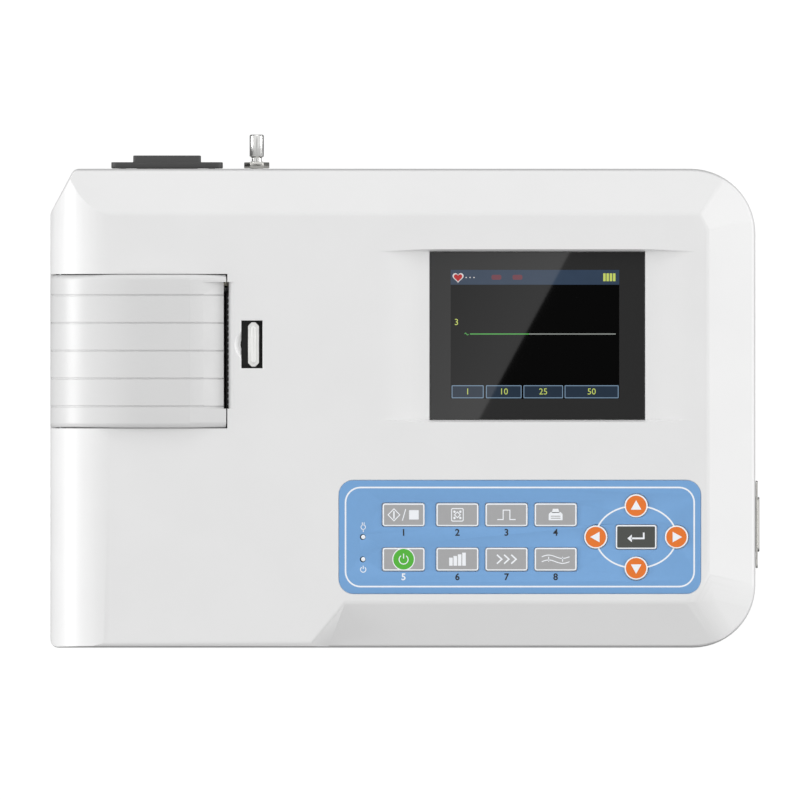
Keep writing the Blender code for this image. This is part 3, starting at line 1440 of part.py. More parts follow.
def make_head():
    """The thermal head on its aluminium block, two springs, and the tear bar above."""
    head = box(
        "head", (HEAD_LEFT, PLATEN_LOW, HEAD_TOP - HEAD_HEIGHT),
        (HEAD_LEFT + HEAD_THICKNESS, PLATEN_HIGH, HEAD_TOP),
    )
    part("thermal_head", head, "acetal")
    sink_low = FRAME_INNER_LOW + FIT
    sink_high = FRAME_INNER_HIGH - FIT
    sink = box(
        "sink", (SINK_LEFT, sink_low, HEAD_TOP - SINK_HEIGHT), (SINK_RIGHT, sink_high, HEAD_TOP),
    )
    pin = (SINK_LEFT + SINK_RIGHT) / 2, HEAD_TOP - SINK_HEIGHT + SINK_PIN_RISE
    join(
        sink,
        cylinder(
            "sink_pin", SINK_PIN_RADIUS, (pin[0], FRAME_LOW, pin[1]), (pin[0], FRAME_HIGH, pin[1]),
            SMALL_SIDES,
        ),
    )
    part("head_block", sink, "aluminium")
    spring_z = HEAD_TOP - HEAD_SPRING_DROP - HEAD_SPRING_RADIUS
    for name, side in (("front", -1), ("back", 1)):
        y = DOOR_MIDDLE + side * HEAD_SPRING_SPACING / 2
        spring = plate(
            "spring",
            [
                circle(y, spring_z, HEAD_SPRING_RADIUS, SMALL_SIDES),
                circle(y, spring_z, HEAD_SPRING_RADIUS - HEAD_SPRING_WALL, SMALL_SIDES),
            ],
            SINK_RIGHT + FIT,
            FRAME_WALL_LEFT - FIT,
            "YZ",
        )
        part("head_spring_" + name, spring, "steel")
    make_tear_bar()


def make_tear_bar():
    """The toothed bar under the lip of the slot."""
    teeth = int(PAPER_WIDTH / TEAR_TOOTH_PITCH)
    edge = SLOT_RIGHT - TEAR_BAR_REACH
    low = DOOR_MIDDLE - teeth * TEAR_TOOTH_PITCH / 2
    outline = []
    for i in range(teeth):
        outline.append((edge + TEAR_TOOTH_DEPTH, low + i * TEAR_TOOTH_PITCH))
        outline.append((edge, low + (i + 0.5) * TEAR_TOOTH_PITCH))
    outline.append((edge + TEAR_TOOTH_DEPTH, low + teeth * TEAR_TOOTH_PITCH))
    outline.append((edge + TEAR_BAR_DEPTH, low + teeth * TEAR_TOOTH_PITCH))
    outline.append((edge + TEAR_BAR_DEPTH, low))
    top = DECK_HEIGHT - SLOT_LIP_DEPTH - FIT
    part("tear_bar", plate("bar", [outline], top - TEAR_BAR_THICKNESS, top), "steel")


def make_printer_frame():
    """The folded frame that carries the head, the idler and the motor."""
    frame = box(
        "frame_block", (FRAME_LEFT, FRAME_LOW, FRAME_BASE), (FRAME_RIGHT, FRAME_HIGH, FRAME_WALL_TOP),
    )
    cut(
        frame,
        box(
            "frame_inside", (FRAME_LEFT - OVERRUN, FRAME_INNER_LOW, FRAME_BASE + FRAME_THICKNESS),
            (FRAME_WALL_LEFT, FRAME_INNER_HIGH, FRAME_WALL_TOP + OVERRUN),
        ),
        box(
            "frame_sides", (FRAME_LEFT - OVERRUN, FRAME_LOW - OVERRUN, FRAME_SIDE_TOP),
            (FRAME_WALL_LEFT, FRAME_HIGH + OVERRUN, FRAME_WALL_TOP + OVERRUN),
        ),
    )
    train = gear_train()
    over = OVERRUN
    pin = (SINK_LEFT + SINK_RIGHT) / 2, HEAD_TOP - SINK_HEIGHT + SINK_PIN_RISE
    idler, motor = train["idler"][0], train["pinion"][0]
    cut(
        frame,
        cylinder("idler_hole", IDLER_AXLE_RADIUS + FIT, (idler.x, FRAME_INNER_HIGH - over, idler.y),
                 (idler.x, FRAME_HIGH + over, idler.y), SMALL_SIDES),
        cylinder("motor_hole", MOTOR_COLLAR_RADIUS, (motor.x, FRAME_INNER_HIGH - over, motor.y),
                 (motor.x, FRAME_HIGH + over, motor.y), SMALL_SIDES),
        cylinder("pin_holes", SINK_PIN_RADIUS + FIT, (pin[0], FRAME_LOW - over, pin[1]),
                 (pin[0], FRAME_HIGH + over, pin[1]), SMALL_SIDES),
    )
    part("printer_frame", frame, "steel")


def well_sides():
    """Outer front and back faces of the paper well."""
    half = PAPER_WIDTH / 2 + WELL_CLEARANCE + WELL_WALL
    return DOOR_MIDDLE - half, DOOR_MIDDLE + half


def make_paper_well():
    """The open tub that the roll drops into, with a slot for each end of the spindle."""
    low, high = well_sides()
    left = LEFT + WELL_LEFT
    right = left + WELL_LENGTH
    well = box("well", (left, low, WELL_FLOOR), (right, high, WELL_TOP))
    inside = box(
        "well_inside", (left + WELL_WALL, low + WELL_WALL, WELL_FLOOR + WELL_WALL),
        (right - WELL_WALL, high - WELL_WALL, WELL_TOP + OVERRUN),
    )
    slot_radius = SPINDLE_END_RADIUS + FIT
    x = LEFT + ROLL_X
    notch = arc(x, ROLL_HEIGHT, slot_radius, math.pi, 2 * math.pi)
    notch.extend([(x + slot_radius, WELL_TOP + OVERRUN), (x - slot_radius, WELL_TOP + OVERRUN)])
    cut(well, inside, plate("spindle_slots", [notch], low - OVERRUN, high + OVERRUN, "XZ"))
    part("paper_well", well, "charcoal")


def make_paper(pivot):
    """The roll of paper, its card core, and the spindle that it turns on."""
    x, z = LEFT + ROLL_X, ROLL_HEIGHT
    low, high = DOOR_MIDDLE - PAPER_WIDTH / 2, DOOR_MIDDLE + PAPER_WIDTH / 2
    core_inner = CORE_RADIUS - CORE_WALL
    roll = plate(
        "roll",
        [
            circle(x, z, ROLL_RADIUS, LARGE_SIDES),
            circle(x, z, CORE_RADIUS + FIT, FINE_SIDES),
        ],
        low,
        high,
        "XZ",
    )
    part("paper_roll", roll, "paper", pivot)
    rings = [circle(x, z, CORE_RADIUS, FINE_SIDES), circle(x, z, core_inner, FINE_SIDES)]
    core = plate("core", rings, low, high, "XZ")
    part("paper_core", core, "card", pivot)
    well_low, well_high = well_sides()
    reach = high - low
    end = well_high + FIT - high
    profile = [
        (0, reach + end),
        (SPINDLE_END_RADIUS, reach + end),
        (SPINDLE_END_RADIUS, reach),
        (core_inner - FIT, reach),
        (core_inner - FIT, 0),
        (SPINDLE_END_RADIUS, 0),
        (SPINDLE_END_RADIUS, well_low - FIT - low),
        (0, well_low - FIT - low),
    ]
    part("roll_spindle", turned("spindle", profile, (x, low, z), (0, 1, 0)), "charcoal", pivot)


def make_latch(pivot):
    """The sliding latch: a dark plate under the deck and the white lever on it."""
    shaft_low, shaft_high = shaft_ends()
    left = LEFT + LATCH_PLATE_LEFT
    right = left + LATCH_PLATE_WIDTH
    latch = box(
        "latch_plate", (left, shaft_low, LATCH_PLATE_BOTTOM), (right, shaft_high, LATCH_PLATE_TOP),
    )
    nose = PLATEN_AXIS_X + PLATEN_SHAFT_RADIUS + FIT
    for name, low in (("front", shaft_low), ("back", shaft_high - LATCH_ARM_WIDTH)):
        join(
            latch,
            box("arm_" + name, (nose, low, LATCH_PLATE_TOP - LATCH_ARM_HEIGHT),
                (left + EMBED, low + LATCH_ARM_WIDTH, LATCH_PLATE_TOP)),
        )
    for name, low in (("front", shaft_low), ("back", shaft_high - LATCH_FINGER_WIDTH)):
        join(
            latch,
            box("finger_" + name, (right - EMBED, low, LATCH_PLATE_BOTTOM),
                (right + LATCH_FINGER_LENGTH, low + LATCH_FINGER_WIDTH, LATCH_PLATE_TOP)),
        )
    lever_x = LEFT + WINDOW_LEFT + LEVER_OFFSET
    middle_x = lever_x + LEVER_WIDTH / 2
    middle_y = FRONT + WINDOW_FRONT + WINDOW_LENGTH / 2
    stem = rectangle(
        middle_x - LATCH_STEM_WIDTH / 2, middle_y - LATCH_STEM_LENGTH / 2, LATCH_STEM_WIDTH,
        LATCH_STEM_LENGTH,
    )
    hole = [corner[:2] for corner in drawn_in(stem, -FIT)]
    cut(latch, plate("stem_hole", [hole], LATCH_PLATE_BOTTOM - OVERRUN, LATCH_PLATE_TOP + OVERRUN))
    part("latch_plate", latch, "charcoal", pivot)
    shoulder = DECK_HEIGHT - LEVER_SINK
    lever = plate(
        "lever",
        [clipped_bar(middle_x, middle_y, LEVER_WIDTH, LEVER_LENGTH, LEVER_CHAMFER)],
        LATCH_PLATE_TOP + FIT,
        shoulder,
    )
    ridge = clipped_bar(
        middle_x, middle_y, RIDGE_WIDTH, LEVER_LENGTH - 2 * LEVER_CHAMFER, LEVER_CHAMFER / 2,
    )
    join(
        lever,
        plate("ridge", [ridge], shoulder - EMBED, shoulder + RIDGE_HEIGHT),
        plate("stem", [[corner[:2] for corner in stem]], LATCH_PLATE_BOTTOM, LATCH_PLATE_TOP + EMBED),
    )
    part("latch_lever", lever, "white", pivot)


def clipped_bar(x, y, width, length, clip):
    """A long outline with its four corners cut off."""
    half_width, half_length = width / 2, length / 2
    return [
        (x - half_width + clip, y - half_length),
        (x + half_width - clip, y - half_length),
        (x + half_width, y - half_length + clip),
        (x + half_width, y + half_length - clip),
        (x + half_width - clip, y + half_length),
        (x - half_width + clip, y + half_length),
        (x - half_width, y + half_length - clip),
        (x - half_width, y - half_length + clip),
    ]


def make_screen():
    """The lens over the screen, and the screen module under it."""
    part("screen_lens", lens_box("lens", 0.0, LENS_BOTTOM, LENS_TOP), "glass")
    left, front = screen_corner()
    border = SCREEN_MODULE_BORDER
    top = LENS_LEDGE_BOTTOM - FIT
    module = box(
        "module",
        (left - border, front - border, top - SCREEN_MODULE_THICKNESS),
        (left + SCREEN_WIDTH + border, front + SCREEN_LENGTH + border, top),
    )
    part("screen_module", module, "black")


def key_columns():
    """Middles of the four columns of oblong keys."""
    first = PANEL_X + KEY_FIRST
    return [first, first + KEY_WIDE_PITCH] + [
        first + KEY_WIDE_PITCH + KEY_PITCH * i for i in (1, 2)
    ]


def key_list():
    """Name, middle, kind and finish of each of the thirteen keys."""
    columns = key_columns()
    upper = PANEL_MIDDLE_Y + KEY_ROW_PITCH / 2
    lower = PANEL_MIDDLE_Y - KEY_ROW_PITCH / 2
    centre = PANEL_X + ARROW_CENTRE
    keys = []
    for row, names in ((upper, ("start", "mode", "pulse", "print")),
                       (lower, ("power", "gain", "speed", "filter"))):
        for x, name in zip(columns, names):
            keys.append(("key_" + name, x, row, "oblong", "grey"))
    for name, across, along in (("up", 0, 1), ("down", 0, -1), ("left", -1, 0), ("right", 1, 0)):
        x = centre + across * ARROW_SPREAD_X
        y = PANEL_MIDDLE_Y + along * ARROW_SPREAD_Y
        keys.append(("key_" + name, x, y, "round", "orange"))
    keys.append(("key_set", centre, PANEL_MIDDLE_Y, "centre", "charcoal"))
    return keys


def key_outline(x, y, kind, grow):
    """Outline of a key, grown by a margin."""
    if kind == "round":
        return circle(x, y, ARROW_RADIUS + grow, FINE_SIDES)
    width, length = (SET_WIDTH, SET_LENGTH) if kind == "centre" else (KEY_WIDTH, KEY_LENGTH)
    left, front = x - width / 2 - grow, y - length / 2 - grow
    return rounded(rectangle(left, front, width + 2 * grow, length + 2 * grow, KEY_RADIUS))


def light_places():
    """Places of the two small lights, by name."""
    x = PANEL_X + LIGHT_X
    return {
        "mains_light": (x, PANEL_MIDDLE_Y),
        "battery_light": (x, PANEL_MIDDLE_Y - KEY_ROW_PITCH / 2),
    }


def make_keypad():
    """The panel, the thirteen keys, the board under them and the two lights."""
    holes = [key_outline(x, y, kind, KEY_GAP) for _, x, y, kind, _ in key_list()]
    holes.extend(circle(x, y, LIGHT_RADIUS + FIT, SMALL_SIDES) for x, y in light_places().values())
    panel = plate("panel", [panel_outline(0.0)] + holes, PANEL_BOTTOM, PANEL_TOP)
    part("keypad_panel", panel, "blue")
    for name, x, y, kind, finish in key_list():
        pivot = axis_empty(name + "_axis", (x, y, PANEL_TOP))
        cap = plate(name, [key_outline(x, y, kind, 0.0)], KEY_BOTTOM, PANEL_TOP + KEY_RISE)
        flange = plate(
            name + "_flange", [key_outline(x, y, kind, KEY_FLANGE)], KEY_BOTTOM,
            PANEL_BOTTOM - FIT,
        )
        part(name, join(cap, flange), finish, pivot)
    grow = KEY_BOARD_MARGIN - PANEL_LEDGE
    board = box(
        "key_board_block",
        (PANEL_X - grow, PANEL_Y - grow, KEY_BOARD_TOP - BOARD_THICKNESS),
        (PANEL_X + PANEL_WIDTH + grow, PANEL_Y + PANEL_LENGTH + grow, KEY_BOARD_TOP),
    )
    part("keypad_board", board, "board")
    for name, (x, y) in light_places().items():
        light = cylinder(
            name, LIGHT_RADIUS, (x, y, KEY_BOARD_TOP + FIT), (x, y, PANEL_TOP), SMALL_SIDES,
        )
        part(name, light, "lamp")


def make_boards():
    """The main board, the power board and the battery in the lower case."""
    left, front = LEFT + MAIN_BOARD_LEFT, FRONT + MAIN_BOARD_FRONT
    low, high = MAIN_BOARD_HEIGHT, MAIN_BOARD_HEIGHT + BOARD_THICKNESS
    board = box(
        "main_block", (left, front, low), (left + MAIN_BOARD_WIDTH, front + MAIN_BOARD_LENGTH, high),
    )
    for i in (1, 2, 3):
        x = left + MAIN_BOARD_WIDTH * i / 4
        y = front + MAIN_BOARD_LENGTH / 2
        half = CHIP_SIZE / 2
        chip = box(
            f"chip_{i}", (x - half, y - half, high - BOARD_THICKNESS / 2),
            (x + half, y + half, high + CHIP_HEIGHT),
        )
        join(board, chip)
    part("main_board", board, "board")
    left, front = LEFT + POWER_BOARD_LEFT, FRONT + POWER_BOARD_FRONT
    board = box(
        "power_block", (left, front, low),
        (left + POWER_BOARD_WIDTH, front + POWER_BOARD_LENGTH, high),
    )
    middle_y = front + POWER_BOARD_LENGTH / 2
    x = left + POWER_BOARD_WIDTH / 3
    transformer = box(
        "transformer",
        (x - TRANSFORMER_WIDTH / 2, middle_y - TRANSFORMER_LENGTH / 2, high - BOARD_THICKNESS / 2),
        (x + TRANSFORMER_WIDTH / 2, middle_y + TRANSFORMER_LENGTH / 2, high + TRANSFORMER_HEIGHT),
    )
    x = left + POWER_BOARD_WIDTH * 3 / 4
    capacitor = cylinder(
        "capacitor", CAPACITOR_RADIUS, (x, middle_y, high - BOARD_THICKNESS / 2),
        (x, middle_y, high + CAPACITOR_HEIGHT), SMALL_SIDES,
    )
    part("power_board", join(board, transformer, capacitor), "board")
    pack = rounded(
        rectangle(
            LEFT + BATTERY_LEFT, FRONT + BATTERY_FRONT, BATTERY_WIDTH, BATTERY_LENGTH,
            BATTERY_RADIUS,
        )
    )
    low = FLOOR_TOP + FIT
    part("battery_pack", plate("pack", [pack], low, low + BATTERY_HEIGHT), "wrap")


def centred(u, v, width, height, radius=0.0):
    """Corners of a rectangle about its middle."""
    return rectangle(u - width / 2, v - height / 2, width, height, radius)


def inlet_hole():
    """The cut-out in the back wall for the mains inlet."""
    hole = [corner[:2] for corner in centred(
        LEFT + INLET_X, PORT_Z, INLET_BODY_WIDTH + 2 * FIT, INLET_BODY_HEIGHT + 2 * FIT,
    )]
    made = plate("inlet_hole", [hole], BACK - WALL - OVERRUN, BACK + OVERRUN, "XZ")
    for side in (-1, 1):
        x = LEFT + INLET_X + side * INLET_SCREW_SPACING / 2
        join(
            made,
            cylinder(
                f"inlet_screw_hole_{side}", SCREW_RADIUS + FIT, (x, BACK - WALL - OVERRUN, PORT_Z),
                (x, BACK + OVERRUN, PORT_Z), SMALL_SIDES,
            ),
        )
    return made


def stud_hole():
    """The hole in the back wall for the earth stud."""
    x = LEFT + STUD_X
    return cylinder(
        "stud_hole", STUD_THREAD_RADIUS + FIT, (x, BACK - WALL - OVERRUN, PORT_Z),
        (x, BACK + OVERRUN, PORT_Z), SMALL_SIDES,
    )


def socket_shape(grow):
    """The tapered outline of the patient socket's shell, in Y and Z."""
    half_long = SOCKET_SHELL_LENGTH / 2
    half_short = half_long - SOCKET_SHELL_TAPER
    y, half = FRONT + SOCKET_Y, SOCKET_SHELL_HEIGHT / 2
    corners = [
        (y - half_short, PORT_Z - half, SOCKET_SHELL_RADIUS),
        (y + half_short, PORT_Z - half, SOCKET_SHELL_RADIUS),
        (y + half_long, PORT_Z + half, SOCKET_SHELL_RADIUS),
        (y - half_long, PORT_Z + half, SOCKET_SHELL_RADIUS),
    ]
    return rounded(drawn_in(corners, -grow) if grow else corners)


def socket_hole():
    """The cut-out in the right wall for the patient socket."""
    return plate(
        "socket_hole", [socket_shape(FIT)], RIGHT - WALL - OVERRUN, RIGHT + OVERRUN, "YZ",
    )


def make_inlet():
    """The mains inlet with its three pins, and its two screws."""
    x = LEFT + INLET_X
    flange_back = BACK + INLET_FLANGE_THICKNESS
    flange = centred(x, PORT_Z, INLET_FLANGE_WIDTH, INLET_FLANGE_HEIGHT, INLET_FLANGE_RADIUS)
    inlet = plate("inlet", [rounded(flange)], BACK + FIT, flange_back, "XZ")
    mouth_end = flange_back + INLET_NOSE_DEPTH
    nose = centred(x, PORT_Z, INLET_NOSE_WIDTH, INLET_NOSE_HEIGHT, INLET_FLANGE_RADIUS / 2)
    body = [c[:2] for c in centred(x, PORT_Z, INLET_BODY_WIDTH, INLET_BODY_HEIGHT)]
    join(
        inlet,
        plate("nose", [rounded(nose)], flange_back - EMBED, mouth_end, "XZ"),
        plate("inlet_body", [body], BACK - INLET_BODY_DEPTH, BACK + FIT + EMBED, "XZ"),
    )
    half_width, half_height = INLET_MOUTH_WIDTH / 2, INLET_MOUTH_HEIGHT / 2
    mouth = [
        (x - half_width, PORT_Z - half_height),
        (x + half_width, PORT_Z - half_height),
        (x + half_width, PORT_Z + half_height - INLET_MOUTH_CUT),
        (x + half_width - INLET_MOUTH_CUT, PORT_Z + half_height),
        (x - half_width + INLET_MOUTH_CUT, PORT_Z + half_height),
        (x - half_width, PORT_Z + half_height - INLET_MOUTH_CUT),
    ]
    mouth_floor = mouth_end - INLET_MOUTH_DEPTH
    cut(inlet, plate("mouth", [mouth], mouth_floor, mouth_end + OVERRUN, "XZ"))
    for i, (across, up) in enumerate(((-1, -1), (1, -1), (0, 1))):
        pin_x = x + across * PIN_SPACING
        pin_z = PORT_Z + up * PIN_OFFSET
        join(
            inlet,
            box(
                f"pin_{i}",
                (pin_x - PIN_WIDTH / 2, mouth_floor - EMBED, pin_z - PIN_HEIGHT / 2),
                (pin_x + PIN_WIDTH / 2, mouth_floor + PIN_LENGTH, pin_z + PIN_HEIGHT / 2),
            ),
        )
    screw_start = flange_back - SUNK_DEPTH - INLET_SCREW_LENGTH
    for name, side in (("left", -1), ("right", 1)):
        start = (x + side * INLET_SCREW_SPACING / 2, screw_start, PORT_Z)
        hole = sunk_screw(FIT, INLET_SCREW_LENGTH + OVERRUN)
        cut(inlet, turned("sunk_hole_" + name, hole, start, (0, 1, 0), SMALL_SIDES))
        screw = sunk_screw(0, INLET_SCREW_LENGTH)
        part(
            "inlet_screw_" + name, turned("inlet_screw", screw, start, (0, 1, 0), SMALL_SIDES),
            "steel",
        )
    part("mains_inlet", inlet, "black")


def sunk_screw(gap, top):
    """Profile of a countersunk screw, or of the hole that leaves a gap round it."""
    rim = INLET_SCREW_LENGTH - SUNK_RIM - gap / 2
    return [
        (0, top),
        (SCREW_HEAD_RADIUS + gap, top),
        (SCREW_HEAD_RADIUS + gap, rim),
        (SCREW_RADIUS + gap, rim - (SCREW_HEAD_RADIUS - SCREW_RADIUS)),
        (SCREW_RADIUS + gap, 0),
        (0, 0),
    ]


def turned_screw(length):
    """Profile of a screw whose head sits on a shank of the given length."""
    chamfer = SCREW_HEAD_HEIGHT / 3
    top = length + SCREW_HEAD_HEIGHT - chamfer
    return [
        (0, top),
        (SCREW_HEAD_RADIUS - chamfer, top),
        (SCREW_HEAD_RADIUS, top - chamfer),
        (SCREW_HEAD_RADIUS, length),
        (SCREW_RADIUS, length),
        (SCREW_RADIUS, 0),
        (0, 0),
    ]


def make_stud():
    """The earth stud and the nut that holds it."""
    x = LEFT + STUD_X
    start = BACK - STUD_INNER_LENGTH
    reach = STUD_INNER_LENGTH + STUD_REACH
    neck = STUD_INNER_LENGTH + STUD_NUT_THICKNESS + FIT
    profile = [
        (0, reach),
        (STUD_PIN_RADIUS - STUD_CHAMFER, reach),
        (STUD_PIN_RADIUS, reach - STUD_CHAMFER),
        (STUD_PIN_RADIUS, neck + STUD_NECK_LENGTH + STUD_CHAMFER),
        (STUD_NECK_RADIUS, neck + STUD_NECK_LENGTH),
        (STUD_NECK_RADIUS, neck),
        (STUD_THREAD_RADIUS, neck),
        (STUD_THREAD_RADIUS, 0),
        (0, 0),
    ]
    part("earth_stud", turned("stud", profile, (x, start, PORT_Z), (0, 1, 0)), "nickel")
    nut = plate(
        "nut",
        [
            circle(x, PORT_Z, STUD_NUT_WIDTH / 2, NUT_SIDES),
            circle(x, PORT_Z, STUD_THREAD_RADIUS + FIT, SMALL_SIDES),
        ],
        BACK + FIT,
        BACK + STUD_NUT_THICKNESS,
        "XZ",
    )
    part("earth_nut", nut, "nickel")


def make_socket():
    """The patient socket: a plated shell and the insulator with its contacts' holes."""
    y = FRONT + SOCKET_Y
    flange = centred(y, PORT_Z, SOCKET_FLANGE_LENGTH, SOCKET_FLANGE_HEIGHT, SOCKET_FLANGE_RADIUS)
    bore = socket_shape(-SOCKET_SHELL_WALL)
    shell = plate(
        "shell", [rounded(flange), bore], RIGHT + FIT, RIGHT + FIT + SOCKET_FLANGE_THICKNESS, "YZ",
    )
    tube = plate(
        "shell_tube", [socket_shape(0.0), bore], RIGHT - SOCKET_INNER_DEPTH, RIGHT + SOCKET_REACH,
        "YZ",
    )
    part("socket_shell", join(shell, tube), "nickel")
    holes = []
    for row, count in ((1, LONG_ROW_COUNT), (-1, LONG_ROW_COUNT - 1)):
        for i in range(count):
            place = y + (i - (count - 1) / 2) * CONTACT_PITCH
            height = PORT_Z + row * CONTACT_ROW_PITCH / 2
            holes.append(circle(place, height, CONTACT_RADIUS, CONTACT_SIDES))
    insulator = plate(
        "insulator", [socket_shape(-SOCKET_SHELL_WALL - FIT)] + holes,
        RIGHT - SOCKET_INNER_DEPTH, RIGHT + SOCKET_REACH - SOCKET_SINK, "YZ",
    )
    part("socket_insulator", insulator, "black")


def make_feet_and_screws():
    """The four rubber feet and the four screws that close the case."""
    for name, (x, y) in foot_places().items():
        height = CASE_BOTTOM + FOOT_SEAT
        profile = [
            (0, height),
            (FOOT_RADIUS, height),
            (FOOT_RADIUS, FOOT_SEAT / 2),
            (FOOT_RADIUS - FOOT_SEAT / 2, 0),
            (0, 0),
        ]
        foot = turned("foot", profile, (x, y, 0), (0, 0, 1))
        part("foot_" + name, foot, "rubber")
    head = CASE_BOTTOM + SCREW_SINK
    length = PARTING_HEIGHT + SCREW_BITE - head - SCREW_HEAD_HEIGHT
    for name, (x, y) in screw_places().items():
        start = (x, y, PARTING_HEIGHT + SCREW_BITE)
        screw = turned("screw", turned_screw(length), start, (0, 0, -1), SMALL_SIDES)
        part("case_screw_" + name, screw, "steel")


def build():
    """Make every sub-part in place."""
    train = gear_train()
    door_axis = axis_empty("door_axis", (HINGE_X, DOOR_MIDDLE, HINGE_Z))
    platen, idler, pinion = (train[name][0] for name in ("platen", "idler", "pinion"))
    gear_middle = (GEAR_LOW + GEAR_HIGH) / 2
    make_bottom_case()
    make_top_case()
    make_door(door_axis)
    make_hinge_rod()
    make_platen(axis_empty("platen_axis", (platen.x, DOOR_MIDDLE, platen.y)))
    make_idler(axis_empty("idler_axis", (idler.x, gear_middle, idler.y)))
    make_motor(axis_empty("pinion_axis", (pinion.x, gear_middle, pinion.y)))
    make_head()
    make_printer_frame()
    make_paper_well()
    make_paper(axis_empty("roll_axis", (LEFT + ROLL_X, DOOR_MIDDLE, ROLL_HEIGHT)))
    make_latch(axis_empty("latch_axis", (LEFT + WINDOW_LEFT, DOOR_MIDDLE, LATCH_PLATE_TOP)))
    make_screen()
    make_keypad()
    make_boards()
    make_inlet()
    make_stud()
    make_socket()
    make_feet_and_screws()


build()
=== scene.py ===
"""Looks of a three-channel electrocardiograph recorder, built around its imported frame.

Sizes in the classes are millimetres; a mesh becomes metres when it is placed.
"""

import logging
import math
from dataclasses import dataclass, field
from enum import Enum
from typing import Any, Callable, Iterable

import bmesh
import bpy
from mathutils import Matrix, Vector


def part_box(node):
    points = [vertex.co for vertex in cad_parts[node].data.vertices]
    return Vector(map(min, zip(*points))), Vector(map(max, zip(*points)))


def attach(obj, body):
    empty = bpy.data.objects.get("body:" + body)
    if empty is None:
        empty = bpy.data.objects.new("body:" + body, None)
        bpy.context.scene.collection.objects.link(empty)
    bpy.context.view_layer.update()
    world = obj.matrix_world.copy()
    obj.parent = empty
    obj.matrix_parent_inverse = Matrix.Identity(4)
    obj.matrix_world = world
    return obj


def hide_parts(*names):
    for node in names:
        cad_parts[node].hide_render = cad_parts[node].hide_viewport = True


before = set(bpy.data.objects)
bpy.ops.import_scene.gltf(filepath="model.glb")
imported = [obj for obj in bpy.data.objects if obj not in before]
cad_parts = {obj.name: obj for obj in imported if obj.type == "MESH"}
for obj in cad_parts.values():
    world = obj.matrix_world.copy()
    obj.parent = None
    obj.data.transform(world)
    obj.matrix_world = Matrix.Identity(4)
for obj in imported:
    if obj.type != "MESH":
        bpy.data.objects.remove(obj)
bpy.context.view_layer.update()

MM = 0.001  # metres
MERGE = 0.0005  # mm; points of a copied CAD mesh that are nearer than this are one
DECK = 73.0  # mm; height of the flat top of the case
INK = 0.03  # mm; how far a printed layer stands on what it is printed on
SHARP_LINE = "sharp_line"  # edge layer of a mesh: lines that stay crisp at any angle
Outline = list[tuple[float, float]]
Spot = tuple[float, float, float]
EdgeRule = Callable[[Vector, Vector, Vector, Vector], float]
log = logging.getLogger("recorder")


def linear(code: str) -> tuple[float, float, float, float]:
    """Turn an sRGB hex colour into linear light.

    Args:
        code: colour such as "#E8E8E8".

    Returns:
        Red, green, blue and alpha, linear.
    """
    parts = [int(code[i : i + 2], 16) / 255 for i in (1, 3, 5)]
    made = [p / 12.92 if p <= 0.04045 else ((p + 0.055) / 1.055) ** 2.4 for p in parts]
    return (*made, 1.0)


def add_node(tree: bpy.types.NodeTree, kind: str, inputs: dict[Any, Any] | None = None,
             **settings: Any) -> bpy.types.Node:
    """Add a node with its settings, values and links.

    Args:
        tree: the tree that gets the node.
        kind: Blender's name for the node type.
        inputs: for each socket, by name or place, a value or the socket that feeds it.
        settings: the node's own properties.

    Returns:
        The new node.
    """
    node = tree.nodes.new(kind)
    for key, value in settings.items():
        setattr(node, key, value)
    for key, value in (inputs or {}).items():
        if isinstance(value, bpy.types.NodeSocket):
            tree.links.new(value, node.inputs[key])
        else:
            node.inputs[key].default_value = value
    return node


def box_of(node: str) -> tuple[Vector, Vector]:
    """Give a CAD node's lowest and highest corners in millimetres."""
    low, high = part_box(node)
    return low / MM, high / MM


def top_of(node: str) -> Spot:
    """Give the middle of a CAD node's top in millimetres."""
    low, high = box_of(node)
    return (low.x + high.x) / 2, (low.y + high.y) / 2, high.z


# Finishes


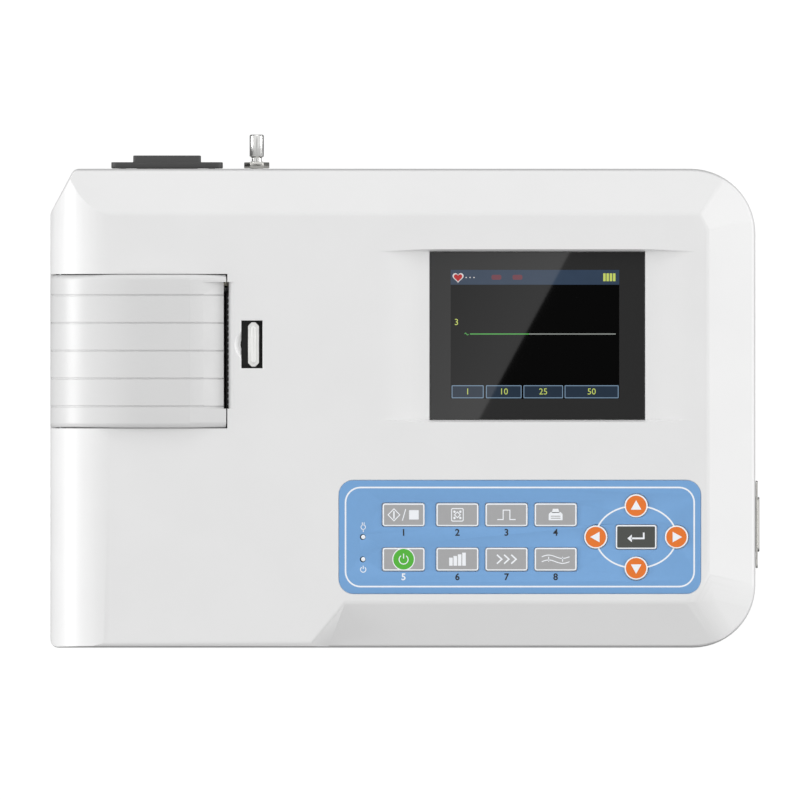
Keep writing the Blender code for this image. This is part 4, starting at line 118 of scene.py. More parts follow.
@dataclass(frozen=True)
class Finish:
    """A surface: its colour, gloss and the fine pattern that its making leaves."""

    name: str
    colour: str
    roughness: float = 0.5
    metallic: float = 0.0
    ior: float = 1.5
    coat: float = 0.0
    coat_roughness: float = 0.03
    specular: float = 0.5

    def material(self) -> bpy.types.Material:
        """Make the material once and give it each time after.

        Returns:
            The Blender material of this finish.
        """
        made = bpy.data.materials.get(self.name)
        if made is not None:
            return made
        made = bpy.data.materials.new(self.name)
        made.use_nodes = True
        tree = made.node_tree
        tree.nodes.clear()
        shader = add_node(tree, "ShaderNodeBsdfPrincipled", {
            "Base Color": linear(self.colour), "Roughness": self.roughness,
            "Metallic": self.metallic, "Coat Weight": self.coat,
            "Coat Roughness": self.coat_roughness, "Coat IOR": 1.49,
        })
        if self.metallic < 1:
            shader.inputs["IOR"].default_value = self.ior
            shader.inputs["Specular IOR Level"].default_value = self.specular
        add_node(tree, "ShaderNodeOutputMaterial", {"Surface": shader.outputs["BSDF"]})
        place = add_node(tree, "ShaderNodeTexCoord")
        self.pattern(tree, shader, place.outputs["Object"])
        return made

    def pattern(self, tree: bpy.types.NodeTree, shader: bpy.types.Node,
                place: bpy.types.NodeSocket) -> None:
        """Leave the surface plain; each kind of finish draws its own pattern."""

    def noise(self, tree: bpy.types.NodeTree, place: bpy.types.NodeSocket, size: float,
              stretch: Spot = (1, 1, 1)) -> bpy.types.NodeSocket:
        """Add noise whose spots are a real size.

        Args:
            tree: the material's tree.
            place: the coordinates it reads.
            size: spot size in millimetres.
            stretch: factor on each axis, below 1 for streaks along it.

        Returns:
            The noise value.
        """
        turned = add_node(tree, "ShaderNodeMapping", {"Vector": place, "Scale": stretch})
        return add_node(tree, "ShaderNodeTexNoise", {
            "Vector": turned.outputs[0], "Scale": 1 / (size * MM), "Detail": 3.0,
            "Roughness": 0.55,
        }).outputs[0]

    def vary(self, tree: bpy.types.NodeTree, value: bpy.types.NodeSocket, low: float,
             high: float) -> bpy.types.NodeSocket:
        """Spread a noise value over a range.

        Args:
            tree: the material's tree.
            value: noise from 0 to 1.
            low: result where the noise is low.
            high: result where it is high.

        Returns:
            The spread value.
        """
        return add_node(tree, "ShaderNodeMapRange", {
            "Value": value, "From Min": 0.3, "From Max": 0.7, "To Min": low, "To Max": high,
        }).outputs[0]


@dataclass(frozen=True)
class Moulded(Finish):
    """Moulded plastic or rubber: spark-eroded grain, and gloss that drifts a little."""

    # A real tool's grain is about 0.1 mm wide; it is drawn coarser, so that it shows.
    grain: float = 0.5
    depth: float = 0.01
    drift: float = 0.04

    def pattern(self, tree: bpy.types.NodeTree, shader: bpy.types.Node,
                place: bpy.types.NodeSocket) -> None:
        """Draw the tool's grain in the bump, and the drift in gloss and tone.

        Args:
            tree: the material's tree.
            shader: its Principled shader.
            place: object coordinates.
        """
        grain = self.noise(tree, place, self.grain)
        broad = self.noise(tree, place, 28.0)
        bump = add_node(tree, "ShaderNodeBump", {
            "Height": grain, "Distance": self.depth * MM, "Strength": 1.0})
        tree.links.new(bump.outputs[0], shader.inputs["Normal"])
        gloss = self.vary(tree, broad, self.roughness - self.drift, self.roughness + self.drift)
        tree.links.new(gloss, shader.inputs["Roughness"])
        tone = self.vary(tree, broad, 0.985, 1.0)
        mixed = add_node(tree, "ShaderNodeHueSaturation", {
            "Color": linear(self.colour), "Value": tone})
        tree.links.new(mixed.outputs[0], shader.inputs["Base Color"])


@dataclass(frozen=True)
class Metal(Finish):
    """Metal: fine lines along one axis, from rolling, turning or brushing."""

    metallic: float = 1.0
    # Real rolling and turning lines are finer than 0.1 mm; these are drawn wider to show.
    line: float = 0.25
    along: Spot = (0.04, 1, 1)
    depth: float = 0.002

    def pattern(self, tree: bpy.types.NodeTree, shader: bpy.types.Node,
                place: bpy.types.NodeSocket) -> None:
        """Draw the lines in gloss and bump, and slow clouds of tarnish in the tone.

        Args:
            tree: the material's tree.
            shader: its Principled shader.
            place: object coordinates.
        """
        lines = self.noise(tree, place, self.line, self.along)
        gloss = self.vary(tree, lines, self.roughness * 0.75, self.roughness * 1.3)
        tree.links.new(gloss, shader.inputs["Roughness"])
        bump = add_node(tree, "ShaderNodeBump", {
            "Height": lines, "Distance": self.depth * MM, "Strength": 1.0})
        tree.links.new(bump.outputs[0], shader.inputs["Normal"])
        tone = self.vary(tree, self.noise(tree, place, 6.0), 0.93, 1.0)
        mixed = add_node(tree, "ShaderNodeHueSaturation", {
            "Color": linear(self.colour), "Value": tone})
        tree.links.new(mixed.outputs[0], shader.inputs["Base Color"])


@dataclass(frozen=True)
class Film(Finish):
    """Printed polyester film: an even velvet texture over flat ink."""

    # Real velvet film is textured every 0.05 mm or so; this is coarser, so that it shows.
    texture: float = 0.35

    def pattern(self, tree: bpy.types.NodeTree, shader: bpy.types.Node,
                place: bpy.types.NodeSocket) -> None:
        """Draw the film's velvet texture and the slight mottle of screen ink.

        Args:
            tree: the material's tree.
            shader: its Principled shader.
            place: object coordinates.
        """
        fine = self.noise(tree, place, self.texture)
        bump = add_node(tree, "ShaderNodeBump", {
            "Height": fine, "Distance": 0.003 * MM, "Strength": 1.0})
        tree.links.new(bump.outputs[0], shader.inputs["Normal"])
        tone = self.vary(tree, self.noise(tree, place, 3.0), 0.985, 1.01)
        mixed = add_node(tree, "ShaderNodeHueSaturation", {
            "Color": linear(self.colour), "Value": tone})
        tree.links.new(mixed.outputs[0], shader.inputs["Base Color"])


@dataclass(frozen=True)
class Glow(Finish):
    """A lit part of the display, behind the glossy window."""

    coat: float = 1.0
    coat_roughness: float = 0.02
    specular: float = 0.0
    strength: float = 1.0

    def pattern(self, tree: bpy.types.NodeTree, shader: bpy.types.Node,
                place: bpy.types.NodeSocket) -> None:
        """Let the colour shine, with the faint unevenness of a backlight.

        Args:
            tree: the material's tree.
            shader: its Principled shader.
            place: object coordinates.
        """
        shader.inputs["Emission Color"].default_value = linear(self.colour)
        shader.inputs["Base Color"].default_value = linear("#0A0A0A")
        even = self.vary(tree, self.noise(tree, place, 9.0), self.strength * 0.94,
                         self.strength * 1.03)
        tree.links.new(even, shader.inputs["Emission Strength"])


@dataclass(frozen=True)
class ChartPaper(Finish):
    """Thermal chart paper with its printed grid: thin lines each 1 mm, bold each 5 mm."""

    ink: str = "#E39A96"
    axis: Spot = (-118.5, 17.75, 46.0)
    radius: float = 22.0

    def pattern(self, tree: bpy.types.NodeTree, shader: bpy.types.Node,
                place: bpy.types.NodeSocket) -> None:
        """Wrap the grid round the roll, so that its lines run along and across the strip.

        Args:
            tree: the material's tree.
            shader: its Principled shader.
            place: object coordinates.
        """
        centred = add_node(tree, "ShaderNodeMapping", {
            "Vector": place, "Location": Vector(self.axis) * -1.0, "Scale": (1 / MM,) * 3},
            vector_type="POINT")
        split = add_node(tree, "ShaderNodeSeparateXYZ", {0: centred.outputs[0]})
        angle = add_node(tree, "ShaderNodeMath", {
            0: split.outputs["X"], 1: split.outputs["Z"]}, operation="ARCTAN2")
        around = add_node(tree, "ShaderNodeMath", {
            0: angle.outputs[0], 1: self.radius}, operation="MULTIPLY").outputs[0]
        total: bpy.types.NodeSocket | None = None
        for value, pitch, half in ((around, 1.0, 0.05), (split.outputs["Y"], 1.0, 0.05),
                                   (around, 5.0, 0.11), (split.outputs["Y"], 5.0, 0.11)):
            near = add_node(tree, "ShaderNodeMath", {
                0: value, 1: pitch / 2}, operation="PINGPONG").outputs[0]
            line = add_node(tree, "ShaderNodeMath", {0: near, 1: half}, operation="LESS_THAN")
            if total is None:
                total = line.outputs[0]
            else:
                total = add_node(tree, "ShaderNodeMath", {
                    0: total, 1: line.outputs[0]}, operation="MAXIMUM").outputs[0]
        mixed = add_node(tree, "ShaderNodeMix", {
            "Factor": total, "A": linear(self.colour), "B": linear(self.ink)},
            data_type="RGBA")
        tree.links.new(mixed.outputs["Result"], shader.inputs["Base Color"])


@dataclass(frozen=True)
class CircuitBoard(Finish):
    """Glass-epoxy board under solder mask, with copper tracks just showing through."""

    def pattern(self, tree: bpy.types.NodeTree, shader: bpy.types.Node,
                place: bpy.types.NodeSocket) -> None:
        """Draw bundles of parallel tracks as a lighter green.

        Args:
            tree: the material's tree.
            shader: its Principled shader.
            place: object coordinates.
        """
        # Real tracks are 0.2 mm wide; bundles of them are drawn, about 1.3 mm apart.
        cells = add_node(tree, "ShaderNodeTexBrick", {
            "Vector": place, "Scale": 1 / (8.0 * MM), "Mortar Size": 0.012,
            "Brick Width": 2.3, "Row Height": 0.16, "Color1": linear(self.colour),
            "Color2": linear("#1D5A3A"), "Mortar": linear("#3E8A5E")},
            offset=0.37, offset_frequency=3)
        tree.links.new(cells.outputs[0], shader.inputs["Base Color"])


# ABS case: spark-eroded tool surface, an even satin white that softens every highlight.
CASE_ABS = Moulded("spark_grained_abs_white", "#E7E7E7", 0.42, grain=0.55, depth=0.012)
# ABS door: the same resin from a finer tool, a little glossier.
DOOR_ABS = Moulded("fine_grained_abs_white", "#D7D7D7", 0.36, grain=0.45, depth=0.008)
# Acetal lever: slippery, slightly waxy white.
LEVER_ACETAL = Moulded("moulded_acetal_white", "#F0F0EE", 0.3, grain=0.6, depth=0.006)
# Black acetal latch plate: smooth and dark, seen only in its window.
LATCH_ACETAL = Moulded("moulded_acetal_black", "#1C1C1C", 0.35, grain=0.6, depth=0.006)
# Charcoal ABS of the paper well: coarse grain that hides paper dust.
WELL_ABS = Moulded("coarse_grained_abs_charcoal", "#3B3C3E", 0.55, grain=0.9, depth=0.02)
# Glass-filled nylon of the mains inlet: dull dark grey with tiny fibre marks.
INLET_NYLON = Moulded("glass_filled_nylon_grey", "#424242", 0.5, grain=0.35, depth=0.01)
# Polyester insulator of the patient socket: dense black.
INSULATOR_PBT = Moulded("moulded_polyester_black", "#161616", 0.4, grain=0.4, depth=0.006)
# Foot rubber: matt, with the tool's fine stipple.
FOOT_RUBBER = Moulded("moulded_rubber_dark", "#2A2A2B", 0.8, grain=0.7, depth=0.03)
# Platen rubber: ground after moulding, so it is matt and a little blue-black.
PLATEN_RUBBER = Moulded("ground_rubber_black", "#232426", 0.7, grain=0.3, depth=0.012)
# Acetal gears: natural, cream white.
GEAR_ACETAL = Moulded("natural_acetal", "#E6E1D2", 0.35, grain=0.5, depth=0.004)
# Polyester display window, printed black on its back: mirror gloss over black.
WINDOW_PRINT = Finish("back_printed_window_black", "#2E2E2E", 0.45, coat=1.0,
                      coat_roughness=0.02, specular=0.0)
# Dark display glass under the same window: deeper black than the print.
WINDOW_DARK = Finish("display_glass_off_black", "#060606", 0.5, coat=1.0,
                     coat_roughness=0.02, specular=0.0)
# Blue polyester overlay: screen-printed on the back, velvet texture on the front.
OVERLAY_BLUE = Film("printed_polyester_blue", "#74A4D6", 0.42)
# Key faces: the same film over grey, dark, orange and green inks.
KEY_GREY = Film("printed_polyester_grey", "#A7A7A8", 0.4)
KEY_DARK = Film("printed_polyester_dark", "#474945", 0.4)
KEY_ORANGE = Film("printed_polyester_orange", "#E87620", 0.4)
KEY_GREEN = Film("printed_polyester_green", "#50B434", 0.4)
# Screen ink on the film: opaque, a little duller than the film itself.
INK_WHITE = Film("screen_ink_white", "#F1F4F8", 0.45)
INK_BLACK = Film("screen_ink_black", "#17191C", 0.45)
# Light pipes: clear resin with milky filler, so they look pale when off.
LIGHT_RESIN = Finish("milky_epoxy_resin", "#F2F7FC", 0.22, coat=0.6, ior=1.52)
# Zinc-plated sheet steel: bright grey with rolling lines.
SHEET_STEEL = Metal("zinc_plated_steel", "#B9BCBF", 0.34)
# Screws: nickel-plated steel, brighter than zinc.
SCREW_STEEL = Metal("nickel_plated_screw", "#BFC0C0", 0.28, line=0.15)
# Turned and nickel-plated brass: smooth, slightly warm.
NICKEL = Metal("nickel_plated_brass", "#C9C8C4", 0.2, line=0.2, along=(1, 0.05, 1))
# Extruded aluminium heat spreader with die lines along its length.
ALUMINIUM = Metal("extruded_aluminium", "#C6C8CA", 0.4, along=(1, 0.03, 1))
# Polished nickel of the earth stud: nearly a mirror.
POLISHED = Metal("polished_nickel", "#E4E4E2", 0.3, line=0.2, along=(1, 0.05, 1), depth=0.0004)
# Gold-flashed contact.
GOLD = Metal("gold_flashed_brass", "#E2BC6A", 0.22, line=0.15)
# Alumina print head under a glaze: glassy. Its near-black tone is painted shade, so that the
# paper slot reads black from above.
HEAD_GLAZE_SLOT_SHADE = Moulded("glazed_alumina", "#2B2A28", 0.25, grain=1.5, depth=0.002)
# Thermal paper: smooth, warm white, with its grid in pale red ink.
CHART_PAPER = ChartPaper("thermal_chart_paper", "#F6F2EE", 0.6)
# Core: grey-brown wound card.
CORE_CARD = Moulded("wound_card", "#A98E68", 0.8, grain=0.8, depth=0.03)
# Circuit boards: green solder mask, half gloss over the woven glass.
BOARD = CircuitBoard("solder_mask_green", "#1F5F3E", 0.35, coat=0.3)
# Battery sleeve: shrunk vinyl.
BATTERY_VINYL = Moulded("shrunk_vinyl_blue", "#2C4C74", 0.3, grain=2.5, depth=0.03)
# Lit cells of the display: each shines its own colour through the same glossy window.
STATUS_BLUE = Glow("display_bar_blue", "#334256")
BOX_BLUE = Glow("display_box_blue", "#263342")
BOX_LINE = Glow("display_line_blue", "#7C95AD")
LIT_WHITE = Glow("display_white", "#D8D4D4")
LIT_RED = Glow("display_red", "#B32426")
LIT_DULL_RED = Glow("display_dull_red", "#6E3A46")
LIT_YELLOW = Glow("display_yellow_green", "#C6D46A")
LIT_GREEN = Glow("display_trace_green", "#56A854")
LIT_GREY = Glow("display_trace_grey", "#8C908C")


# Shapes


def rounded_rectangle(x: float, y: float, width: float, length: float, radius: float,
                      steps: int = 6) -> Outline:
    """Give the outline of a rectangle with rounded corners.

    Args:
        x: centre, across.
        y: centre, along.
        width: size across.
        length: size along.
        radius: corner radius.
        steps: segments of each corner.

    Returns:
        Points, anticlockwise.
    """
    points: Outline = []
    for turn, (sx, sy) in enumerate(((1, 1), (-1, 1), (-1, -1), (1, -1))):
        cx, cy = x + sx * (width / 2 - radius), y + sy * (length / 2 - radius)
        for i in range(steps + 1):
            a = math.pi / 2 * (turn + i / steps)
            points.append((cx + radius * math.cos(a), cy + radius * math.sin(a)))
    return points


def ellipse(x: float, y: float, rx: float, ry: float, steps: int = 48, start: float = 0.0,
            end: float = 360.0) -> Outline:
    """Give points of an ellipse or of an arc of it, anticlockwise.

    Args:
        x: centre, across.
        y: centre, along.
        rx: half width.
        ry: half length.
        steps: number of segments.
        start: first angle, in degrees.
        end: last angle; a whole turn leaves its last point out.

    Returns:
        The points.
    """
    count = steps if abs(end - start) >= 360 else steps + 1
    angles = [math.radians(start + (end - start) * i / steps) for i in range(count)]
    return [(x + rx * math.cos(a), y + ry * math.sin(a)) for a in angles]


def moved(outline: Outline, x: float, y: float, scale: float = 1.0) -> Outline:
    """Scale an outline about its own origin, then move it."""
    return [(px * scale + x, py * scale + y) for px, py in outline]


class Shape:
    """A mesh under construction, in millimetres."""

    def __init__(self) -> None:
        """Start empty."""
        self.bm = bmesh.new()

    def loft(self, rings: list[list[Vector]], finish: int = 0,
             loop: bool = False) -> "Shape":
        """Join rings of points by faces, and close the ends.

        Args:
            rings: rings with the same number of points.
            finish: place of the finish that the faces take.
            loop: whether the last ring joins the first instead of both ends being capped.

        Returns:
            This shape.
        """
        rows = [[self.bm.verts.new(p) for p in ring] for ring in rings]
        made = []
        pairs = list(zip(rows, rows[1:])) + ([(rows[-1], rows[0])] if loop else [])
        for low, high in pairs:
            count = len(low)
            for i in range(count):
                j = (i + 1) % count
                made.append(self.bm.faces.new((low[i], low[j], high[j], high[i])))
        if not loop:
            made.append(self.bm.faces.new(rows[0][::-1]))
            made.append(self.bm.faces.new(rows[-1]))
        for face in made:
            face.material_index = finish
        return self

    def slab(self, outline: Outline, low: float, high: float, finish: int = 0) -> "Shape":
        """Raise an outline into a plate.

        Args:
            outline: its plan, anticlockwise.
            low: height of its underside.
            high: height of its top.
            finish: place of its finish.

        Returns:
            This shape.
        """
        return self.loft([[Vector((x, y, z)) for x, y in outline] for z in (low, high)], finish)

    def ribbon(self, points: Outline, width: float, low: float, high: float,
               finish: int = 0, closed: bool = False) -> "Shape":
        """Draw a line of even width, with mitred corners.

        Args:
            points: the line's middle.
            width: its width.
            low: height of its underside.
            high: height of its top.
            finish: place of its finish.
            closed: whether its ends join.

        Returns:
            This shape.
        """
        rings = []
        count = len(points)
        for i, (x, y) in enumerate(points):
            before = points[i - 1] if i or closed else None
            after = points[(i + 1) % count] if i < count - 1 or closed else None
            sides = []
            for a, b in ((before, (x, y)), ((x, y), after)):
                if a is not None and b is not None:
                    step = Vector((b[0] - a[0], b[1] - a[1])).normalized()
                    sides.append(Vector((-step.y, step.x)))
            normal = sum(sides, Vector((0, 0))).normalized()
            reach = width / 2 / max(0.3, normal.dot(sides[0]))
            near, far = normal * reach, normal * -reach
            rings.append([Vector((x + near.x, y + near.y, low)),
                          Vector((x + far.x, y + far.y, low)),
                          Vector((x + far.x, y + far.y, high)),
                          Vector((x + near.x, y + near.y, high))])
        return self.loft(rings, finish, loop=closed)

    def lathe(self, profile: Outline, sides: int, matrix: Matrix, finish: int = 0) -> "Shape":
        """Turn a profile about the local Z axis.

        Args:
            profile: radius and height of each ring, none of them at radius 0.
            sides: number of sides.
            matrix: places the turned form.
            finish: place of its finish.

        Returns:
            This shape.
        """
        rings = [[matrix @ Vector((x, y, h)) for x, y in ellipse(0, 0, r, r, sides)]
                 for r, h in profile]
        return self.loft(rings, finish)

    def text(self, words: str, size: float, x: float, y: float, low: float, high: float,
             finish: int = 0, bold: float = 0.0) -> "Shape":
        """Set plain figures in Blender's own face, centred on a point.

        Args:
            words: the figures.
            size: height of the face.
            x: centre, across.
            y: centre, along.
            low: height of the underside.
            high: height of the top.
            finish: place of its finish.
            bold: how far each stroke is thickened.

        Returns:
            This shape.
        """
        curve = bpy.data.curves.new("figures", "FONT")
        curve.body, curve.size = words, size
        curve.align_x, curve.align_y = "CENTER", "CENTER"
        curve.offset, curve.resolution_u = bold, 3
        holder = bpy.data.objects.new("figures", curve)
        bpy.context.scene.collection.objects.link(holder)
        flat = bpy.data.meshes.new_from_object(
            holder.evaluated_get(bpy.context.evaluated_depsgraph_get()))
        bpy.data.objects.remove(holder)
        bpy.data.curves.remove(curve)
        part = bmesh.new()
        part.from_mesh(flat)
        bmesh.ops.remove_doubles(part, verts=part.verts, dist=1e-4)
        bmesh.ops.dissolve_limit(part, angle_limit=0.02, verts=part.verts, edges=part.edges)
        raised = bmesh.ops.extrude_face_region(part, geom=part.faces[:], use_keep_orig=True)
        tops = [v for v in raised["geom"] if isinstance(v, bmesh.types.BMVert)]
        bmesh.ops.translate(part, verts=tops, vec=(0, 0, high - low))
        bmesh.ops.translate(part, verts=part.verts, vec=(x, y, low))
        self.join(part, finish)
        bpy.data.meshes.remove(flat)
        return self

    def join(self, part: bmesh.types.BMesh, finish: int) -> None:
        """Take in another mesh, and free it.

        Args:
            part: the other mesh.
            finish: place of the finish that its faces take.
        """
        for face in part.faces:
            face.material_index = finish
        spare = bpy.data.meshes.new("spare")
        part.to_mesh(spare)
        part.free()
        self.bm.from_mesh(spare)
        bpy.data.meshes.remove(spare)


def shrink(outline: Outline, distance: float) -> Outline:
    """Draw an outline inwards, with mitred corners.

    Args:
        outline: the outline, anticlockwise.
        distance: how far its sides move inwards.

    Returns:
        The smaller outline, with as many points.
    """
    made: Outline = []
    count = len(outline)
    for i, (x, y) in enumerate(outline):
        before, after = Vector(outline[i - 1]), Vector(outline[(i + 1) % count])
        here = Vector((x, y))
        first = (here - before).normalized()
        second = (after - here).normalized()
        normal = (Vector((-first.y, first.x)) + Vector((-second.y, second.x))).normalized()
        reach = distance / max(0.3, normal.dot(Vector((-first.y, first.x))))
        made.append((x + normal.x * reach, y + normal.y * reach))
    return made


def place(shape: Shape, name: str, body: str, finishes: list[Finish], slot: str,
          replaces: tuple[str, ...] = (), smooth: float = 32.0, outward: bool = True,
          even: bool = False) -> bpy.types.Object:
    """Turn a shape into a finished piece that rides on a body.

    Args:
        shape: the shape, in millimetres; it is freed.
        name: the piece's name.
        body: the CAD body it moves with.
        finishes: its finishes, in the order of its faces' indices.
        slot: the record's material slot; not used.
        replaces: CAD nodes it stands for.
        smooth: edges that turn less than this, in degrees, are shaded smooth.
        outward: whether to turn its faces outwards.
        even: whether broad faces keep their own normals beside narrow rounds.

    Returns:
        The piece.
    """
    if outward:
        bmesh.ops.recalc_face_normals(shape.bm, faces=shape.bm.faces[:])
    bmesh.ops.scale(shape.bm, vec=(MM,) * 3, verts=shape.bm.verts)
    mesh = bpy.data.meshes.new(name)
    shape.bm.edges.index_update()
    layer = shape.bm.edges.layers.int.get(SHARP_LINE)
    lines = [edge.index for edge in shape.bm.edges if edge[layer]] if layer else []
    shape.bm.to_mesh(mesh)
    shape.bm.free()
    piece = bpy.data.objects.new(name, mesh)
    bpy.context.scene.collection.objects.link(piece)
    for finish in finishes:
        mesh.materials.append(finish.material())
    mesh.shade_smooth()
    mesh.set_sharp_from_angle(angle=math.radians(smooth))
    for index in lines:
        mesh.edges[index].use_edge_sharp = True
    if even:
        step = piece.modifiers.new("even", "WEIGHTED_NORMAL")
        step.keep_sharp, step.weight = True, 80
        baked(piece)
        mesh = piece.data
    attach(piece, body)
    if replaces:
        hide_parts(*replaces)
    log.info("%s on %s: %d faces", name, body, len(mesh.polygons))
    return piece


def dress(node: str, finish: Finish) -> None:
    """Give a carried-over CAD node its material.

    Args:
        node: the node's name.
        finish: what it is made of.
    """
    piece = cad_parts[node]
    for held in piece.material_slots:
        held.material = finish.material()
    log.info("%s keeps its CAD shape, in %s", node, finish.name)


def trim(bm: bmesh.types.BMesh, point: Vector, normal: Vector) -> None:
    """Cut a convex mesh by a plane, drop what lies outside, and close it.

    Args:
        bm: the mesh.
        point: a point of the plane.
        normal: its normal, towards what is dropped.
    """
    bmesh.ops.bisect_plane(bm, geom=bm.verts[:] + bm.edges[:] + bm.faces[:], dist=1e-5,
                           plane_co=point, plane_no=normal, clear_outer=True)
    rim = [edge for edge in bm.edges if edge.is_boundary]
    if rim:
        bmesh.ops.holes_fill(bm, edges=rim, sides=len(rim))
    bmesh.ops.recalc_face_normals(bm, faces=bm.faces[:])


def tool(name: str, bm: bmesh.types.BMesh) -> bpy.types.Object:
    """Make a helper object.

    Args:
        name: its name.
        bm: its mesh, which is freed.

    Returns:
        The object.
    """
    mesh = bpy.data.meshes.new(name)
    bm.to_mesh(mesh)
    bm.free()
    made = bpy.data.objects.new(name, mesh)
    bpy.context.scene.collection.objects.link(made)
    return made


def baked(piece: bpy.types.Object) -> None:
    """Apply an object's modifiers to its mesh.

    Args:
        piece: the object.
    """
    made = bpy.data.meshes.new_from_object(
        piece.evaluated_get(bpy.context.evaluated_depsgraph_get()))
    old = piece.data
    piece.modifiers.clear()
    piece.data = made
    bpy.data.meshes.remove(old)


def boolean(target: bpy.types.Object, operation: str, other: bpy.types.Object) -> None:
    """Combine a helper object with another, which is removed.

    Args:
        target: the object that is changed.
        operation: "DIFFERENCE", "INTERSECT" or "UNION".
        other: the second object.
    """
    step = target.modifiers.new("combine", "BOOLEAN")
    step.operation, step.solver, step.object = operation, "EXACT", other
    baked(target)
    spare = other.data
    bpy.data.objects.remove(other)
    bpy.data.meshes.remove(spare)


def merged(node: str) -> bmesh.types.BMesh:
    """Copy a CAD node's mesh in millimetres, with its loose triangles joined.

    Args:
        node: the node's name.

    Returns:
        The joined copy.
    """
    bm = bmesh.new()
    bm.from_mesh(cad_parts[node].data)
    bmesh.ops.scale(bm, vec=(1 / MM,) * 3, verts=bm.verts)
    bmesh.ops.remove_doubles(bm, verts=bm.verts, dist=MERGE)
    bmesh.ops.dissolve_limit(bm, angle_limit=math.radians(0.2), verts=bm.verts, edges=bm.edges)
    return bm


def softened(node: str, rule: EdgeRule, widest: float, segments: int = 3) -> Shape:
    """Copy a CAD node and round its edges.

    Args:
        node: the node's name.
        rule: from an edge's two ends and its two face normals, the radius it gets, or 0.
        widest: the largest radius that the rule gives.
        segments: faces across each round.

    Returns:
        The rounded copy, in millimetres.
    """
    bm = merged(node)
    layer = bm.edges.layers.float.new("bevel_weight_edge")
    chosen = 0
    for edge in bm.edges:
        if len(edge.link_faces) != 2 or edge.calc_length() < 0.05:
            continue
        radius = rule(edge.verts[0].co, edge.verts[1].co,
                      edge.link_faces[0].normal, edge.link_faces[1].normal)
        if radius > 0:
            edge[layer] = min(1.0, radius / widest)
            chosen += 1
    mesh = bpy.data.meshes.new("copy")
    bm.to_mesh(mesh)
    bm.free()
    holder = bpy.data.objects.new("copy", mesh)
    bpy.context.scene.collection.objects.link(holder)
    bevel = holder.modifiers.new("round", "BEVEL")
    bevel.limit_method, bevel.width, bevel.segments = "WEIGHT", widest, segments
    bevel.use_clamp_overlap, bevel.miter_outer = False, "MITER_ARC"
    bevel.loop_slide = False
    rounded = bpy.data.meshes.new_from_object(
        holder.evaluated_get(bpy.context.evaluated_depsgraph_get()))
    shape = Shape()
    shape.bm.from_mesh(rounded)
    bpy.data.objects.remove(holder)
    bpy.data.meshes.remove(mesh)
    bpy.data.meshes.remove(rounded)
    log.info("%s: %d edges rounded", node, chosen)
    return shape


def every_edge(radius: float, sharper: float = 40.0) -> EdgeRule:
    """Give a rule that rounds each edge that turns more than an angle."""
    limit = math.cos(math.radians(sharper))
    return lambda a, b, m, n: radius if m.dot(n) < limit else 0.0


# Repeated pieces


def open_tree(name: str, sockets: dict[str, str]) -> tuple[bpy.types.NodeTree, Any]:
    """Start a geometry tree with named inputs.

    Args:
        name: the tree's name.
        sockets: for each input, its kind, such as "Float".

    Returns:
        The tree, and the outputs of its input node.
    """
    tree = bpy.data.node_groups.new(name, "GeometryNodeTree")
    tree.interface.new_socket("Geometry", in_out="OUTPUT", socket_type="NodeSocketGeometry")
    for label, kind in sockets.items():
        tree.interface.new_socket(label, in_out="INPUT", socket_type=f"NodeSocket{kind}")
    return tree, add_node(tree, "NodeGroupInput").outputs


def close_tree(tree: bpy.types.NodeTree, form: bpy.types.Node, finish: Finish) -> None:
    """End a geometry tree: make its copies real and give them their material.

    Args:
        tree: the tree.
        form: the node whose first output is the finished form.
        finish: what it is made of.
    """
    real = add_node(tree, "GeometryNodeRealizeInstances", {0: form.outputs[0]})
    last = add_node(tree, "GeometryNodeSetMaterial", {
        "Geometry": real.outputs[0], "Material": finish.material()})
    add_node(tree, "NodeGroupOutput", {0: last.outputs[0]})


class Unit(Enum):
    """The form that is repeated in a row."""

    BAR = "GeometryNodeMeshCube"
    PIN = "GeometryNodeMeshCylinder"


@dataclass
class Row:
    """Equal units in a straight row, made by a node tree."""

    unit: Unit
    start: Spot
    step: Spot
    count: int
    size: Spot

    def build(self, finish: Finish) -> Shape:
        """Set the units in their row with a node tree.

        Args:
            finish: what the units are made of.

        Returns:
            The row, in millimetres.
        """
        tree, given = open_tree("row_of_units", {
            "Count": "Int", "Start": "Vector", "Step": "Vector", "Size": "Vector"})
        line = add_node(tree, "GeometryNodeMeshLine", {
            "Count": given["Count"], "Start Location": given["Start"],
            "Offset": given["Step"]})
        if self.unit is Unit.BAR:
            form = add_node(tree, self.unit.value, {"Size": given["Size"]})
        else:
            split = add_node(tree, "ShaderNodeSeparateXYZ", {0: given["Size"]})
            form = add_node(tree, self.unit.value, {
                "Vertices": 12, "Radius": split.outputs["X"], "Depth": split.outputs["Z"]})
        copies = add_node(tree, "GeometryNodeInstanceOnPoints", {
            "Points": line.outputs[0], "Instance": form.outputs[0]})
        close_tree(tree, copies, finish)
        return grown(tree, {"Count": self.count, "Start": self.start, "Step": self.step,
                            "Size": self.size})


def grown(tree: bpy.types.NodeTree, values: dict[str, Any],
          points: Iterable[Spot] = ()) -> Shape:
    """Run a geometry tree on a helper object.

    Args:
        tree: the tree.
        values: its inputs by name.
        points: the points that the helper object holds.

    Returns:
        The result as a plain shape.
    """
    mesh = bpy.data.meshes.new("grown")
    mesh.from_pydata(list(points), [], [])
    holder = bpy.data.objects.new("grown", mesh)
    bpy.context.scene.collection.objects.link(holder)
    modifier = holder.modifiers.new("grow", "NODES")
    modifier.node_group = tree
    names = {item.name: item.identifier for item in tree.interface.items_tree
             if item.in_out == "INPUT"}
    for name, value in values.items():
        modifier[names[name]] = value
    made = bpy.data.meshes.new_from_object(
        holder.evaluated_get(bpy.context.evaluated_depsgraph_get()))
    shape = Shape()
    shape.bm.from_mesh(made)
    holder.modifiers.remove(modifier)
    bpy.data.objects.remove(holder)
    bpy.data.meshes.remove(mesh)
    bpy.data.meshes.remove(made)
    bpy.data.node_groups.remove(tree)
    return shape


